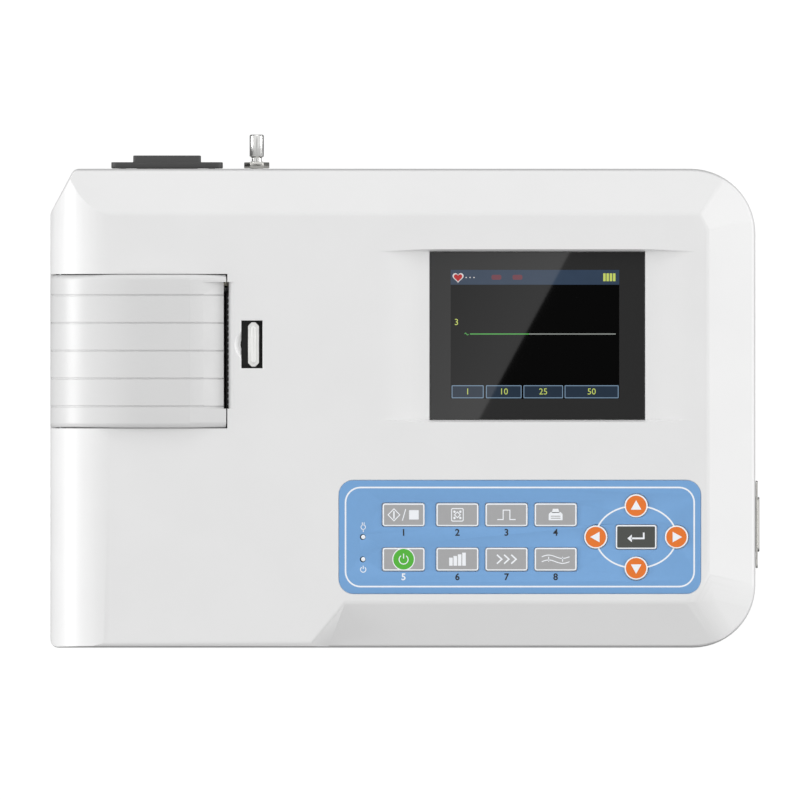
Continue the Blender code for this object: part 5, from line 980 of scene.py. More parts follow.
@dataclass
class Coil:
    """A compression spring: round wire wound at an even pitch along X."""

    radius: float
    wire: float
    length: float
    turns: float

    def build(self, finish: Finish, start: Vector) -> Shape:
        """Wind the spring from a start point towards +X.

        Args:
            finish: the wire's finish.
            start: middle of its first end.

        Returns:
            The spring, in millimetres.
        """
        tree, given = open_tree("coil", dict.fromkeys(
            ("Turns", "Radius", "Length", "Wire"), "Float"))
        helix = add_node(tree, "GeometryNodeCurveSpiral", {
            "Resolution": 16, "Rotations": given["Turns"], "Start Radius": given["Radius"],
            "End Radius": given["Radius"], "Height": given["Length"]})
        wire = add_node(tree, "GeometryNodeCurvePrimitiveCircle", {
            "Resolution": 8, "Radius": given["Wire"]})
        body = add_node(tree, "GeometryNodeCurveToMesh", {
            "Curve": helix.outputs[0], "Profile Curve": wire.outputs[0], "Fill Caps": True})
        laid = add_node(tree, "GeometryNodeTransform", {
            "Geometry": body.outputs[0], "Rotation": (0, math.pi / 2, 0)})
        close_tree(tree, laid, finish)
        shape = grown(tree, {"Turns": self.turns, "Radius": self.radius,
                             "Length": self.length, "Wire": self.wire})
        bmesh.ops.translate(shape.bm, verts=shape.bm.verts, vec=start)
        return shape


@dataclass
class Copies:
    """One unit that is set at several points, all turned alike."""

    points: list[Spot]
    turn: Spot = (0.0, 0.0, 0.0)

    def build(self, unit: Shape, finish: Finish) -> Shape:
        """Set the unit at every point with a node tree.

        Args:
            unit: the unit, which is freed.
            finish: what it is made of.

        Returns:
            All the copies, in millimetres.
        """
        tree, given = open_tree("copies_at_points", {
            "Points": "Geometry", "Unit": "Object", "Turn": "Vector"})
        held = add_node(tree, "GeometryNodeObjectInfo", {"Object": given["Unit"]})
        copies = add_node(tree, "GeometryNodeInstanceOnPoints", {
            "Points": given["Points"], "Instance": held.outputs["Geometry"],
            "Rotation": given["Turn"]})
        close_tree(tree, copies, finish)
        helper = tool("unit", unit.bm)
        made = grown(tree, {"Unit": helper, "Turn": self.turn}, self.points)
        spare = helper.data
        bpy.data.objects.remove(helper)
        bpy.data.meshes.remove(spare)
        return made


@dataclass
class Screw:
    """A cross-recessed screw, pan-headed or countersunk, standing on Z = 0."""

    head: float
    height: float
    shank: float
    length: float
    sunk: bool = False

    def build(self) -> Shape:
        """Turn the screw and press the cross into its head.

        Returns:
            The screw, in millimetres.
        """
        r, h, top = self.head, self.height, self.length + self.height
        if self.sunk:
            profile = [(self.shank, 0.0), (self.shank, top - 0.3 - (r - self.shank)),
                       (r, top - 0.3), (r, top - 0.08), (r - 0.08, top), (r * 0.4, top)]
        else:
            profile = [(self.shank, 0.0), (self.shank, self.length), (r - 0.1, self.length),
                       (r, self.length + 0.12), (r, self.length + 0.5 * h),
                       (r * 0.93, self.length + 0.76 * h), (r * 0.72, self.length + 0.93 * h),
                       (r * 0.4, top)]
        turned = Shape().lathe(profile, 32, Matrix.Identity(4))
        body = tool("screw", turned.bm)
        for across in (0, 1):
            bar = Shape()
            rings = []
            for half, wide, z in ((0.36, 0.11, top - 0.62 * min(h, 1.6) - 0.25),
                                  (0.62, 0.17, top + 0.2)):
                u, v = (half * r, wide * r) if across else (wide * r, half * r)
                rings.append([Vector((-u, -v, z)), Vector((u, -v, z)), Vector((u, v, z)),
                              Vector((-u, v, z))])
            bar.loft(rings)
            bmesh.ops.recalc_face_normals(bar.bm, faces=bar.bm.faces[:])
            boolean(body, "DIFFERENCE", tool("cross", bar.bm))
        shape = Shape()
        shape.bm.from_mesh(body.data)
        bpy.data.objects.remove(body)
        return shape


# Sub-assemblies


@dataclass
class Casework:
    """The two halves of the white case.

    The upper half is the CAD solid, trimmed by a block of the same form whose creases and
    outer edges are round, and relieved along its openings.
    """

    left: float = -158.5
    right: float = 156.5
    front: float = -114.7
    back: float = 99.3
    front_left_radius: float = 3.5
    front_right_radius: float = 28.0
    back_right_radius: float = 29.0
    cut_width: float = 10.5
    cut_depth: float = 19.8
    left_round: float = 27.0
    front_round: float = 3.5
    back_band: float = 20.3
    right_band: float = 21.4
    front_band: float = 20.5
    drop: float = 9.0
    facet: float = 7.2
    facet_rest: float = 3.6
    step_top: float = 114.7
    step_foot: float = 124.0
    step_back: float = 131.9
    sag: float = 0.05
    spare: float = 0.02
    edge_offset: float = 1.3
    crease_offset: float = 1.7
    relief: float = 0.3
    underside: float = 3.0
    parting: float = 41.0
    draft: float = 1.0
    corner_offset: float = 7.5
    corner_shaves: int = 7
    corner_start: tuple[float, float] = (132.0, -86.0)
    plain_corner: tuple[float, float] = (-120.0, -90.0)
    door_side: float = -130.0
    small_radius: float = 3.5
    block_foot: float = 20.0
    lowest_edge: float = 47.0
    least_turn: float = 9.0
    level: float = 0.3
    lower_round: float = 1.6
    lower_reach: float = 60.0
    seat_gap: float = 0.3
    seat_radius: float = 6.6
    latch_window: tuple[float, float, float, float] = (-68.35, 20.75, 9.5, 21.3)
    smooth: float = 24.0

    def arc(self, centre: Vector, radius: float, first: float, last: float) -> Outline:
        """Give points of an arc whose facets match the CAD solid's.

        Args:
            centre: its centre.
            radius: its radius.
            first: first angle, in radians.
            last: last angle.

        Returns:
            The points, both ends included.
        """
        facet = 2 * math.acos(1 - min(self.sag / radius, 0.5))
        steps = max(2, math.ceil(abs(last - first) / facet))
        angles = [first + (last - first) * i / steps for i in range(steps + 1)]
        return [(centre.x + radius * math.cos(a), centre.y + radius * math.sin(a))
                for a in angles]

    def plan(self) -> Outline:
        """Give the outline of the case from above, a hair larger than the CAD solid's.

        Returns:
            Points, anticlockwise.
        """
        corners = [(self.left, self.front, self.front_left_radius),
                   (self.right, self.front, self.front_right_radius),
                   (self.right, self.back, self.back_right_radius),
                   (self.left + self.cut_width, self.back, self.small_radius),
                   (self.left, self.back - self.cut_depth, self.small_radius)]
        points: Outline = []
        for i, (x, y, radius) in enumerate(corners):
            here = Vector((x, y))
            before = (Vector(corners[i - 1][:2]) - here).normalized()
            after = (Vector(corners[(i + 1) % len(corners)][:2]) - here).normalized()
            half = before.angle(after) / 2
            centre = here + (before + after).normalized() * radius / math.sin(half)
            start = here + before * radius / math.tan(half) - centre
            first = math.atan2(start.y, start.x)
            points += self.arc(centre, radius, first, first + math.pi - 2 * half)
        return shrink(points, -self.spare)

    def planes(self) -> list[tuple[Vector, Vector]]:
        """List the planes that trim the plain block.

        Returns:
            The planes, each a point and its outward normal.
        """
        made: list[tuple[Vector, Vector]] = []
        for edge, radius, axis in ((self.left, self.left_round, 0),
                                   (self.front, self.front_round, 1)):
            centre = Vector((edge + radius, DECK - radius))
            line = self.arc(centre, radius, math.pi / 2, math.pi)
            for (u0, w0), (u1, w1) in zip(line, line[1:]):
                normal = Vector((-(w0 - w1), 0, u0 - u1)).normalized()
                point = Vector((u0, 0, w0))
                if axis:
                    normal, point = Vector((0, normal.x, normal.z)), Vector((0, u0, w0))
                made.append((point, normal))
        x, y0, y1 = self.right - self.right_band, self.front + self.front_band, (
            self.back - self.back_band)
        made.append((Vector((0, y1, DECK)), Vector((0, self.drop / self.back_band, 1))))
        made.append((Vector((x, 0, DECK)), Vector((self.drop / self.right_band, 0, 1))))
        for first, second, corner in (
                ((x - self.facet_rest, y1), (x, y1 - self.facet), (self.right, self.back)),
                ((x - self.facet_rest, y0), (x, y0 + self.facet), (self.right, self.front))):
            one, two = Vector(first), Vector(second)
            along = (two - one).normalized()
            out = Vector(corner) - one
            out = (out - along * out.dot(along)).normalized() * self.drop / self.right_band
            middle = (one + two) / 2
            made.append((Vector((middle.x, middle.y, DECK)), Vector((out.x, out.y, 1))))
        return [(point, normal.normalized()) for point, normal in made]

    def upright(self) -> bmesh.types.BMesh:
        """Raise the outline, drawn in by the mould's draft above the parting line.

        Returns:
            The block, in millimetres.
        """
        plan, top = self.plan(), shrink(self.plan(), self.draft)
        rings = [[Vector((x, y, z)) for x, y in line]
                 for line, z in ((plan, self.block_foot), (plan, self.parting),
                                 (top, DECK + self.spare))]
        return Shape().loft(rings).bm

    def rounding(self, point: Vector, first: Vector, second: Vector, offset: float,
                 shaves: int = 3) -> list[tuple[Vector, Vector]]:
        """Give the planes that shave one straight edge to a round.

        Args:
            point: a point of the edge.
            first: normal of one face.
            second: normal of the other.
            offset: distance from the edge to where the round starts.
            shaves: number of planes.

        Returns:
            The planes, each a point and its outward normal.
        """
        turn = first.angle(second)
        radius = offset / math.tan(turn / 2)
        centre = point - (first + second) / (1 + first.dot(second)) * radius
        made = []
        for i in range(1, shaves + 1):
            normal = first.slerp(second, i / (shaves + 1)).normalized()
            made.append((centre + normal * radius, normal))
        return made

    def sort_edges(self, bm: bmesh.types.BMesh,
                   band: Vector) -> tuple[list[tuple[Vector, Vector]], ...]:
        """Find the edges to round, and the planes that do it.

        Args:
            bm: the convex block with every band.
            band: normal of the front band.

        Returns:
            Planes for the whole block, and planes for the front band alone.
        """
        whole: list[tuple[Vector, Vector]] = []
        front: list[tuple[Vector, Vector]] = []
        for edge in bm.edges:
            m, n = (face.normal for face in edge.link_faces)
            middle = (edge.verts[0].co + edge.verts[1].co) / 2
            turn = math.degrees(m.angle(n))
            plain = middle.x < self.plain_corner[0] and middle.y < self.plain_corner[1]
            low = middle.z < self.lowest_edge or max(m.z, n.z) < self.level
            if low or plain or turn < self.least_turn:
                continue
            crease = min(m.z, n.z) > self.level
            offset = self.crease_offset if crease else self.edge_offset
            shaves = 3
            start_x, start_y = self.corner_start
            if middle.x < self.door_side:
                offset = self.edge_offset / 2
            elif crease and middle.x > start_x and middle.y < start_y:
                offset, shaves = self.corner_offset, self.corner_shaves
            kind = front if max(m.dot(band), n.dot(band)) > 0.9999 else whole
            kind += self.rounding(middle, m.copy(), n.copy(), offset, shaves)
        return whole, front

    def block(self) -> tuple[bpy.types.Object, bpy.types.Object]:
        """Make the two blocks that together give the case its rounded creases and edges.

        Returns:
            The whole block without its front band, and the form of the band with its
            slanting left end. Both are helper objects, in millimetres.
        """
        slope = self.drop / self.front_band
        band = Vector((0, -slope, 1)).normalized()
        band_at = Vector((0, self.front + self.front_band, DECK)) + band * self.spare
        full, base = self.upright(), self.upright()
        for point, normal in self.planes():
            trim(full, point + normal * self.spare, normal)
            trim(base, point + normal * self.spare, normal)
        trim(full, band_at, band)
        bmesh.ops.dissolve_limit(full, angle_limit=math.radians(0.2), verts=full.verts,
                                 edges=full.edges)
        whole, front = self.sort_edges(full, band)
        full.free()
        for point, normal in whole:
            trim(base, point, normal)
        low_part = bmesh.new()
        bmesh.ops.create_cube(low_part, size=380.0)
        bmesh.ops.translate(low_part, vec=(0, 3, -107), verts=low_part.verts)
        for point, normal in [(band_at, band), *front]:
            trim(low_part, point, normal)
        return tool("soft_block", base), self.left_of_step(tool("front_form", low_part))

    def left_of_step(self, form: bpy.types.Object) -> bpy.types.Object:
        """Add to the front form what lies left of its slanting end.

        Args:
            form: everything below the front band.

        Returns:
            The same helper object.
        """
        top_front = Vector((self.left + self.step_top, self.front, DECK))
        foot = Vector((self.left + self.step_foot, self.front, DECK - self.drop))
        top_back = Vector((self.left + self.step_back, self.front + self.front_band, DECK))
        side = (foot - top_front).cross(top_back - top_front).normalized()
        side = -side if side.x < 0 else side
        kept = bmesh.new()
        bmesh.ops.create_cube(kept, size=370.0)
        bmesh.ops.translate(kept, vec=(0, 0, -100), verts=kept.verts)
        trim(kept, top_front + side * self.spare, side)
        for point, normal in self.rounding(top_front, Vector((0, 0, 1)), side,
                                           self.edge_offset):
            trim(kept, point, normal)
        boolean(form, "UNION", tool("left_form", kept))
        return form

    def lower_edge(self, a: Vector, b: Vector, m: Vector, n: Vector) -> float:
        """Give the radius of a bottom case edge: only the outer lower edges are round.

        Args:
            a: one end of the edge.
            b: its other end.
            m: normal of one face.
            n: normal of the other.

        Returns:
            The radius, or 0.
        """
        outer = max(a.z, b.z) < self.underside + 0.05 and min(m.z, n.z) < -0.99
        outwards = m if abs(m.z) < self.level else n
        middle = (a + b) / 2
        along = middle.y - (self.front + self.back) / 2
        beside = outwards.x * middle.x + outwards.y * along > self.lower_reach
        return self.lower_round if outer and abs(outwards.z) < self.level and beside else 0.0

    def funnel(self, outline: Outline, rise: float = 0.4) -> bpy.types.Object:
        """Make the cutter that breaks the edge of an opening in the deck.

        Args:
            outline: the opening, anticlockwise.
            rise: how far the cutter stands above the deck.

        Returns:
            A helper object, in millimetres.
        """
        shape = Shape()
        low, high = shrink(outline, 0.02), shrink(outline, -self.relief - rise)
        shape.loft([[Vector((x, y, DECK - self.relief)) for x, y in low],
                    [Vector((x, y, DECK + rise)) for x, y in high]])
        return tool("funnel", shape.bm)

    def build(self) -> None:
        """Make and place both halves."""
        top = tool("top_copy", merged("top_case"))
        for form in self.block():
            boolean(top, "INTERSECT", form)
        panel_low, panel_high = box_of("keypad_panel")
        middle, size = (panel_low + panel_high) / 2, panel_high - panel_low
        gap = 2 * self.seat_gap
        boolean(top, "DIFFERENCE", self.funnel(rounded_rectangle(
            middle.x, middle.y, size.x + gap, size.y + gap, self.seat_radius, 8)))
        boolean(top, "DIFFERENCE", self.funnel(
            rounded_rectangle(*self.latch_window, 0.05, 1)))
        shape = Shape()
        shape.bm.from_mesh(top.data)
        bpy.data.objects.remove(top)
        place(shape, "top_shell", "recorder", [CASE_ABS], "case_white", ("top_case",),
              self.smooth, outward=False, even=True)
        shape = softened("bottom_case", self.lower_edge, self.lower_round, 4)
        place(shape, "bottom_shell", "recorder", [CASE_ABS], "case_white", ("bottom_case",),
              self.smooth, outward=False, even=True)


@dataclass
class PaperDoor:
    """The hinged door over the chart paper."""

    edge_round: float = 0.35
    groove_width: float = 0.7
    groove_depth: float = 0.6
    groove_first: float = -6.9
    groove_pitch: float = 12.4
    groove_count: int = 5
    plain_line: float = 11.0
    kink: float = 62.6
    kink_reach: float = 0.4
    kink_turn: float = 3.0
    hard_turn: float = 31.0
    rim_low: float = -14.4
    rim_high: float = 49.9

    def rim(self, a: Vector, b: Vector, m: Vector, n: Vector) -> float:
        """Give the radius of a door edge: only those between the top and a side are round.

        Args:
            a: one end of the edge.
            b: its other end.
            m: normal of one face.
            n: normal of the other.

        Returns:
            The radius, or 0.
        """
        side, top = (m, n) if m.z < n.z else (n, m)
        outer = not self.rim_low < (a.y + b.y) / 2 < self.rim_high
        upright = (abs(side.y) > 0.95 and outer) or side.x > 0.95
        return self.edge_round if upright and top.z > 0.15 and abs(side.z) < 0.1 else 0.0

    def crown_line(self, door: bpy.types.Object) -> Outline:
        """Trace the door's top, in X and Z, between two grooves.

        Args:
            door: the door as a helper object.

        Returns:
            Points from the hinge to the slot.
        """
        line: Outline = []
        x = box_of("paper_door")[0].x + 0.03
        end = box_of("paper_door")[1].x - 0.6
        while x < end:
            hit, spot, _, _ = door.ray_cast(Vector((x, self.plain_line, 99)), Vector((0, 0, -1)))
            if hit:
                line.append((spot.x, spot.z))
            x += 0.35 if x < -150 else 1.6
        return line

    def groove(self, line: Outline, y: float) -> bpy.types.Object:
        """Make the cutter of one groove, which follows the door's top.

        Args:
            line: the door's top, in X and Z.
            y: middle of the groove.

        Returns:
            A helper object.
        """
        top: Outline = []
        floor: Outline = []
        for i, (x, z) in enumerate(line):
            before, after = line[max(0, i - 1)], line[min(len(line) - 1, i + 1)]
            along = Vector((after[0] - before[0], after[1] - before[1])).normalized()
            top.append((x - along.y * 1.5, z + along.x * 1.5))
            floor.append((x + along.y * self.groove_depth, z - along.x * self.groove_depth))
        outline = floor + top[::-1]
        half = self.groove_width / 2
        rings = [[Vector((x, y + side, z)) for x, z in outline] for side in (-half, half)]
        shape = Shape().loft(rings)
        bmesh.ops.recalc_face_normals(shape.bm, faces=shape.bm.faces[:])
        return tool("groove", shape.bm)

    def lines(self, bm: bmesh.types.BMesh) -> None:
        """Mark the kink across the door, and its hard edges, which show as crisp lines.

        Args:
            bm: the door; its edges get the layer that place() reads.
        """
        layer = bm.edges.layers.int.new(SHARP_LINE)
        kink = box_of("paper_door")[0].x + self.kink
        for edge in bm.edges:
            turn = math.degrees(edge.calc_face_angle(0.0))
            level = min((f.normal.z for f in edge.link_faces), default=0.0) > 0.8
            x = (edge.verts[0].co.x + edge.verts[1].co.x) / 2
            bent = level and abs(x - kink) < self.kink_reach and turn > self.kink_turn
            if bent or turn > self.hard_turn:
                edge[layer] = 1

    def build(self) -> None:
        """Make the door with soft edges and crisp grooves, and dress its rod."""
        door = tool("door", softened("paper_door", self.rim, self.edge_round, 3).bm)
        line = self.crown_line(door)
        for i in range(self.groove_count):
            y = self.groove_first + i * self.groove_pitch
            boolean(door, "DIFFERENCE", self.groove(line, y))
        shape = Shape()
        shape.bm.from_mesh(door.data)
        bpy.data.objects.remove(door)
        self.lines(shape.bm)
        place(shape, "door_leaf", "door", [DOOR_ABS], "door_white", ("paper_door",), 30,
              outward=False, even=True)
        dress("hinge_rod", SHEET_STEEL)


@dataclass
class Printer:
    """Paper roll, rollers, gears, head and their steel frame."""

    roll_sides: int = 96
    wraps: int = 5
    bore: float = 8.8
    wire: float = 0.35
    turns: float = 5.0

    def roll(self) -> None:
        """Wind the paper roll, its ends showing a few loose wraps."""
        low, high = box_of("paper_roll")
        middle = (low + high) / 2
        radius, bore = (high.x - low.x) / 2, self.bore
        length = high.y - low.y
        turn = Matrix.Translation(middle) @ Matrix.Rotation(math.radians(-90), 4, "X")
        half = length / 2
        end: Outline = []
        width = (radius - bore - 1.2) / self.wraps
        for i in range(self.wraps):
            near = bore + width * i
            end += [(near + 0.1, half - 0.25), (near + 0.35, half - (i % 2) * 0.12),
                    (near + width - 0.35, half - (i % 2) * 0.12)]
        end += [(radius - 0.5, half), (radius, half - 0.15)]
        profile = end + [(r, -h) for r, h in reversed(end)]
        rings = [[turn @ Vector((x, y, h)) for x, y in ellipse(0, 0, r, r, self.roll_sides)]
                 for r, h in profile]
        place(Shape().loft(rings, loop=True), "chart_roll", "roll", [CHART_PAPER], "paper",
              ("paper_roll",))

    def springs(self) -> None:
        """Wind the two springs that press the head on the platen."""
        for side in ("front", "back"):
            node = f"head_spring_{side}"
            low, high = box_of(node)
            radius, wire = (high.z - low.z) / 2, self.wire
            coil = Coil(radius - wire, wire, high.x - low.x - 2 * wire, self.turns)
            middle = Vector((low.x + wire, (low.y + high.y) / 2, (low.z + high.z) / 2))
            place(coil.build(SHEET_STEEL, middle), f"spring_coil_{side}", "recorder",
                  [SHEET_STEEL], "steel", (node,))

    def build(self) -> None:
        """Make and dress every piece of the printer."""
        self.roll()
        self.springs()
        for node, finish in (("paper_core", CORE_CARD), ("roll_spindle", WELL_ABS),
                             ("paper_well", WELL_ABS), ("platen_roller", PLATEN_RUBBER),
                             ("platen_shaft", SHEET_STEEL), ("platen_gear", GEAR_ACETAL),
                             ("idler_gear", GEAR_ACETAL), ("idler_axle", SHEET_STEEL),
                             ("motor_pinion", GEAR_ACETAL), ("print_motor", SHEET_STEEL),
                             # the head's near-black glaze colour is painted shade that darkens
                             # the paper slot
                             ("thermal_head", HEAD_GLAZE_SLOT_SHADE), ("head_block", ALUMINIUM),
                             ("tear_bar", SHEET_STEEL), ("printer_frame", SHEET_STEEL)):
            dress(node, finish)


@dataclass
class Latch:
    """The lever in its window, and the plate under it."""

    edge_round: float = 0.3
    face_steps: tuple[tuple[float, float], ...] = ((0.5, 0.0), (0.3, -0.12))

    def build(self) -> None:
        """Make the lever with soft edges, and dress the plate."""
        lever = softened("latch_lever", every_edge(self.edge_round, 30), self.edge_round, 3)
        top = max((f for f in lever.bm.faces if f.normal.z > 0.999),
                  key=lambda f: f.calc_center_median().z * 1000 + f.calc_area())
        for inset, rise in self.face_steps:
            bmesh.ops.inset_region(lever.bm, faces=[top], thickness=inset,
                                   use_even_offset=True)
            bmesh.ops.translate(lever.bm, verts=top.verts, vec=(0, 0, rise))
        place(lever, "latch_slider", "latch", [LEVER_ACETAL], "lever_white",
              ("latch_lever",), 30, outward=False)
        dress("latch_plate", LATCH_ACETAL)


@dataclass
class Screen:
    """The display behind its glossy window."""

    left: float = 20.3
    front: float = -3.5
    width: float = 75.2
    length: float = 57.5
    bar_height: float = 6.6
    box_line: float = 0.35
    box_edges: tuple[tuple[float, float], ...] = (
        (0.45, 14.7), (15.75, 31.6), (32.5, 50.1), (50.85, 74.9))
    box_words: tuple[str, ...] = ("1", "10", "25", "50")
    top: float = field(init=False)

    def __post_init__(self) -> None:
        """Read the height of the window from the frame."""
        self.top = box_of("screen_lens")[1].z

    def window(self) -> None:
        """Make the printed border and the dark glass inside it."""
        low, high = box_of("screen_lens")
        middle = (low + high) / 2
        outer = rounded_rectangle(middle.x, middle.y, high.x - low.x, high.y - low.y, 0.3, 2)
        cx, cy = self.left + self.width / 2, self.front + self.length / 2
        inner = rounded_rectangle(cx, cy, self.width, self.length, 0.3, 2)
        border = Shape()
        rim = shrink(outer, 0.12)
        rings = [[Vector((x, y, z)) for x, y in line]
                 for line, z in ((outer, low.z), (outer, high.z - 0.12), (rim, high.z),
                                 (inner, high.z), (inner, low.z))]
        border.loft(rings, loop=True)
        place(border, "window_border", "recorder", [WINDOW_PRINT], "lens_glass",
              ("screen_lens",))
        glass = Shape().slab(inner, low.z, high.z)
        place(glass, "display_glass", "recorder", [WINDOW_DARK], "lens_glass")

    def marks(self) -> None:
        """Draw what the display shows: bar, heart, battery, trace and value boxes."""
        low, high = self.top - INK, self.top + INK
        bar_low = self.front + self.length - self.bar_height
        bar = Shape().slab([(self.left, bar_low), (self.left + self.width, bar_low),
                            (self.left + self.width, self.front + self.length),
                            (self.left, self.front + self.length)], low, high)
        place(bar, "display_bar", "recorder", [STATUS_BLUE], "lens_glass")
        middle = bar_low + self.bar_height / 2
        heart = []
        for i in range(40):
            t = 2 * math.pi * i / 40
            heart.append((16 * math.sin(t) ** 3,
                          13 * math.cos(t) - 5 * math.cos(2 * t) - 2 * math.cos(3 * t)
                          - math.cos(4 * t)))
        heart = heart[::-1]
        hx = self.left + 3.3
        mark = Shape()
        mark.slab(moved(heart, hx, middle, 0.155), high, high + INK, finish=0)
        mark.slab(moved(heart, hx, middle - 0.05, 0.118), high + INK, high + 2 * INK, finish=1)
        place(mark, "display_heart", "recorder", [LIT_WHITE, LIT_RED], "lens_glass")
        dots = Row(Unit.PIN, (hx + 3.6, middle - 0.1, high + INK / 2), (1.75, 0, 0), 3,
                   (0.3, 0.3, INK)).build(LIT_WHITE)
        place(dots, "display_dots", "recorder", [LIT_WHITE], "lens_glass")
        red = Shape()
        for x in (20.4, 29.8):
            red.slab(rounded_rectangle(self.left + x, middle, 4.4, 2.2, 0.8), high, high + INK)
        place(red, "display_red_marks", "recorder", [LIT_DULL_RED], "lens_glass")
        bars = Row(Unit.BAR, (self.left + 68.6, middle, high + INK / 2), (1.45, 0, 0), 4,
                   (1.1, 3.5, INK)).build(LIT_YELLOW)
        place(bars, "display_battery", "recorder", [LIT_YELLOW], "lens_glass")
        trace_y = 25.4
        trace = Shape()
        split = self.left + 35.0
        trace.ribbon([(self.left + 8.6, trace_y), (split, trace_y)], 0.5, low, high, 0)
        trace.ribbon([(split, trace_y), (self.left + 73.6, trace_y)], 0.5, low, high, 1)
        tick = [(self.left + 6.2 + 0.25 * i, trace_y + 0.45 * math.sin(i * math.pi / 3.5))
                for i in range(8)]
        trace.ribbon(tick, 0.3, low, high, 0)
        place(trace, "display_trace", "recorder", [LIT_GREEN, LIT_GREY], "lens_glass")
        label = Shape().text("3", 4.0, self.left + 2.6, trace_y + 5.2, low, high)
        place(label, "display_number", "recorder", [LIT_YELLOW], "lens_glass")
        self.boxes(low, high)

    def boxes(self, low: float, high: float) -> None:
        """Draw the row of value boxes along the display's lower edge.

        Args:
            low: height of their underside.
            high: height of their top.
        """
        y0, y1 = self.front + 0.25, self.front + 6.0
        for i, ((x0, x1), words) in enumerate(zip(self.box_edges, self.box_words)):
            cx, cy = self.left + (x0 + x1) / 2, (y0 + y1) / 2
            made = Shape()
            made.slab(rounded_rectangle(cx, cy, x1 - x0, y1 - y0, 0.2, 2), low, high, finish=0)
            line = rounded_rectangle(cx, cy, x1 - x0 - self.box_line, y1 - y0 - self.box_line,
                                     0.2, 2)
            made.ribbon(line, self.box_line, high - INK / 2, high + INK, 1, closed=True)
            made.text(words, 3.9, cx, cy, high, high + INK, 2)
            place(made, f"display_box_{i + 1}", "recorder", [BOX_BLUE, BOX_LINE, LIT_YELLOW],
                  "lens_glass")

    def build(self) -> None:
        """Make the window, its marks, and dress the module behind."""
        self.window()
        self.marks()
        dress("screen_module", WELL_ABS)


class Icon(Enum):
    """What is printed on a key."""

    START = "start"
    MODE = "mode"
    PULSE = "pulse"
    PRINT = "print"
    POWER = "power"
    GAIN = "gain"
    SPEED = "speed"
    FILTER = "filter"


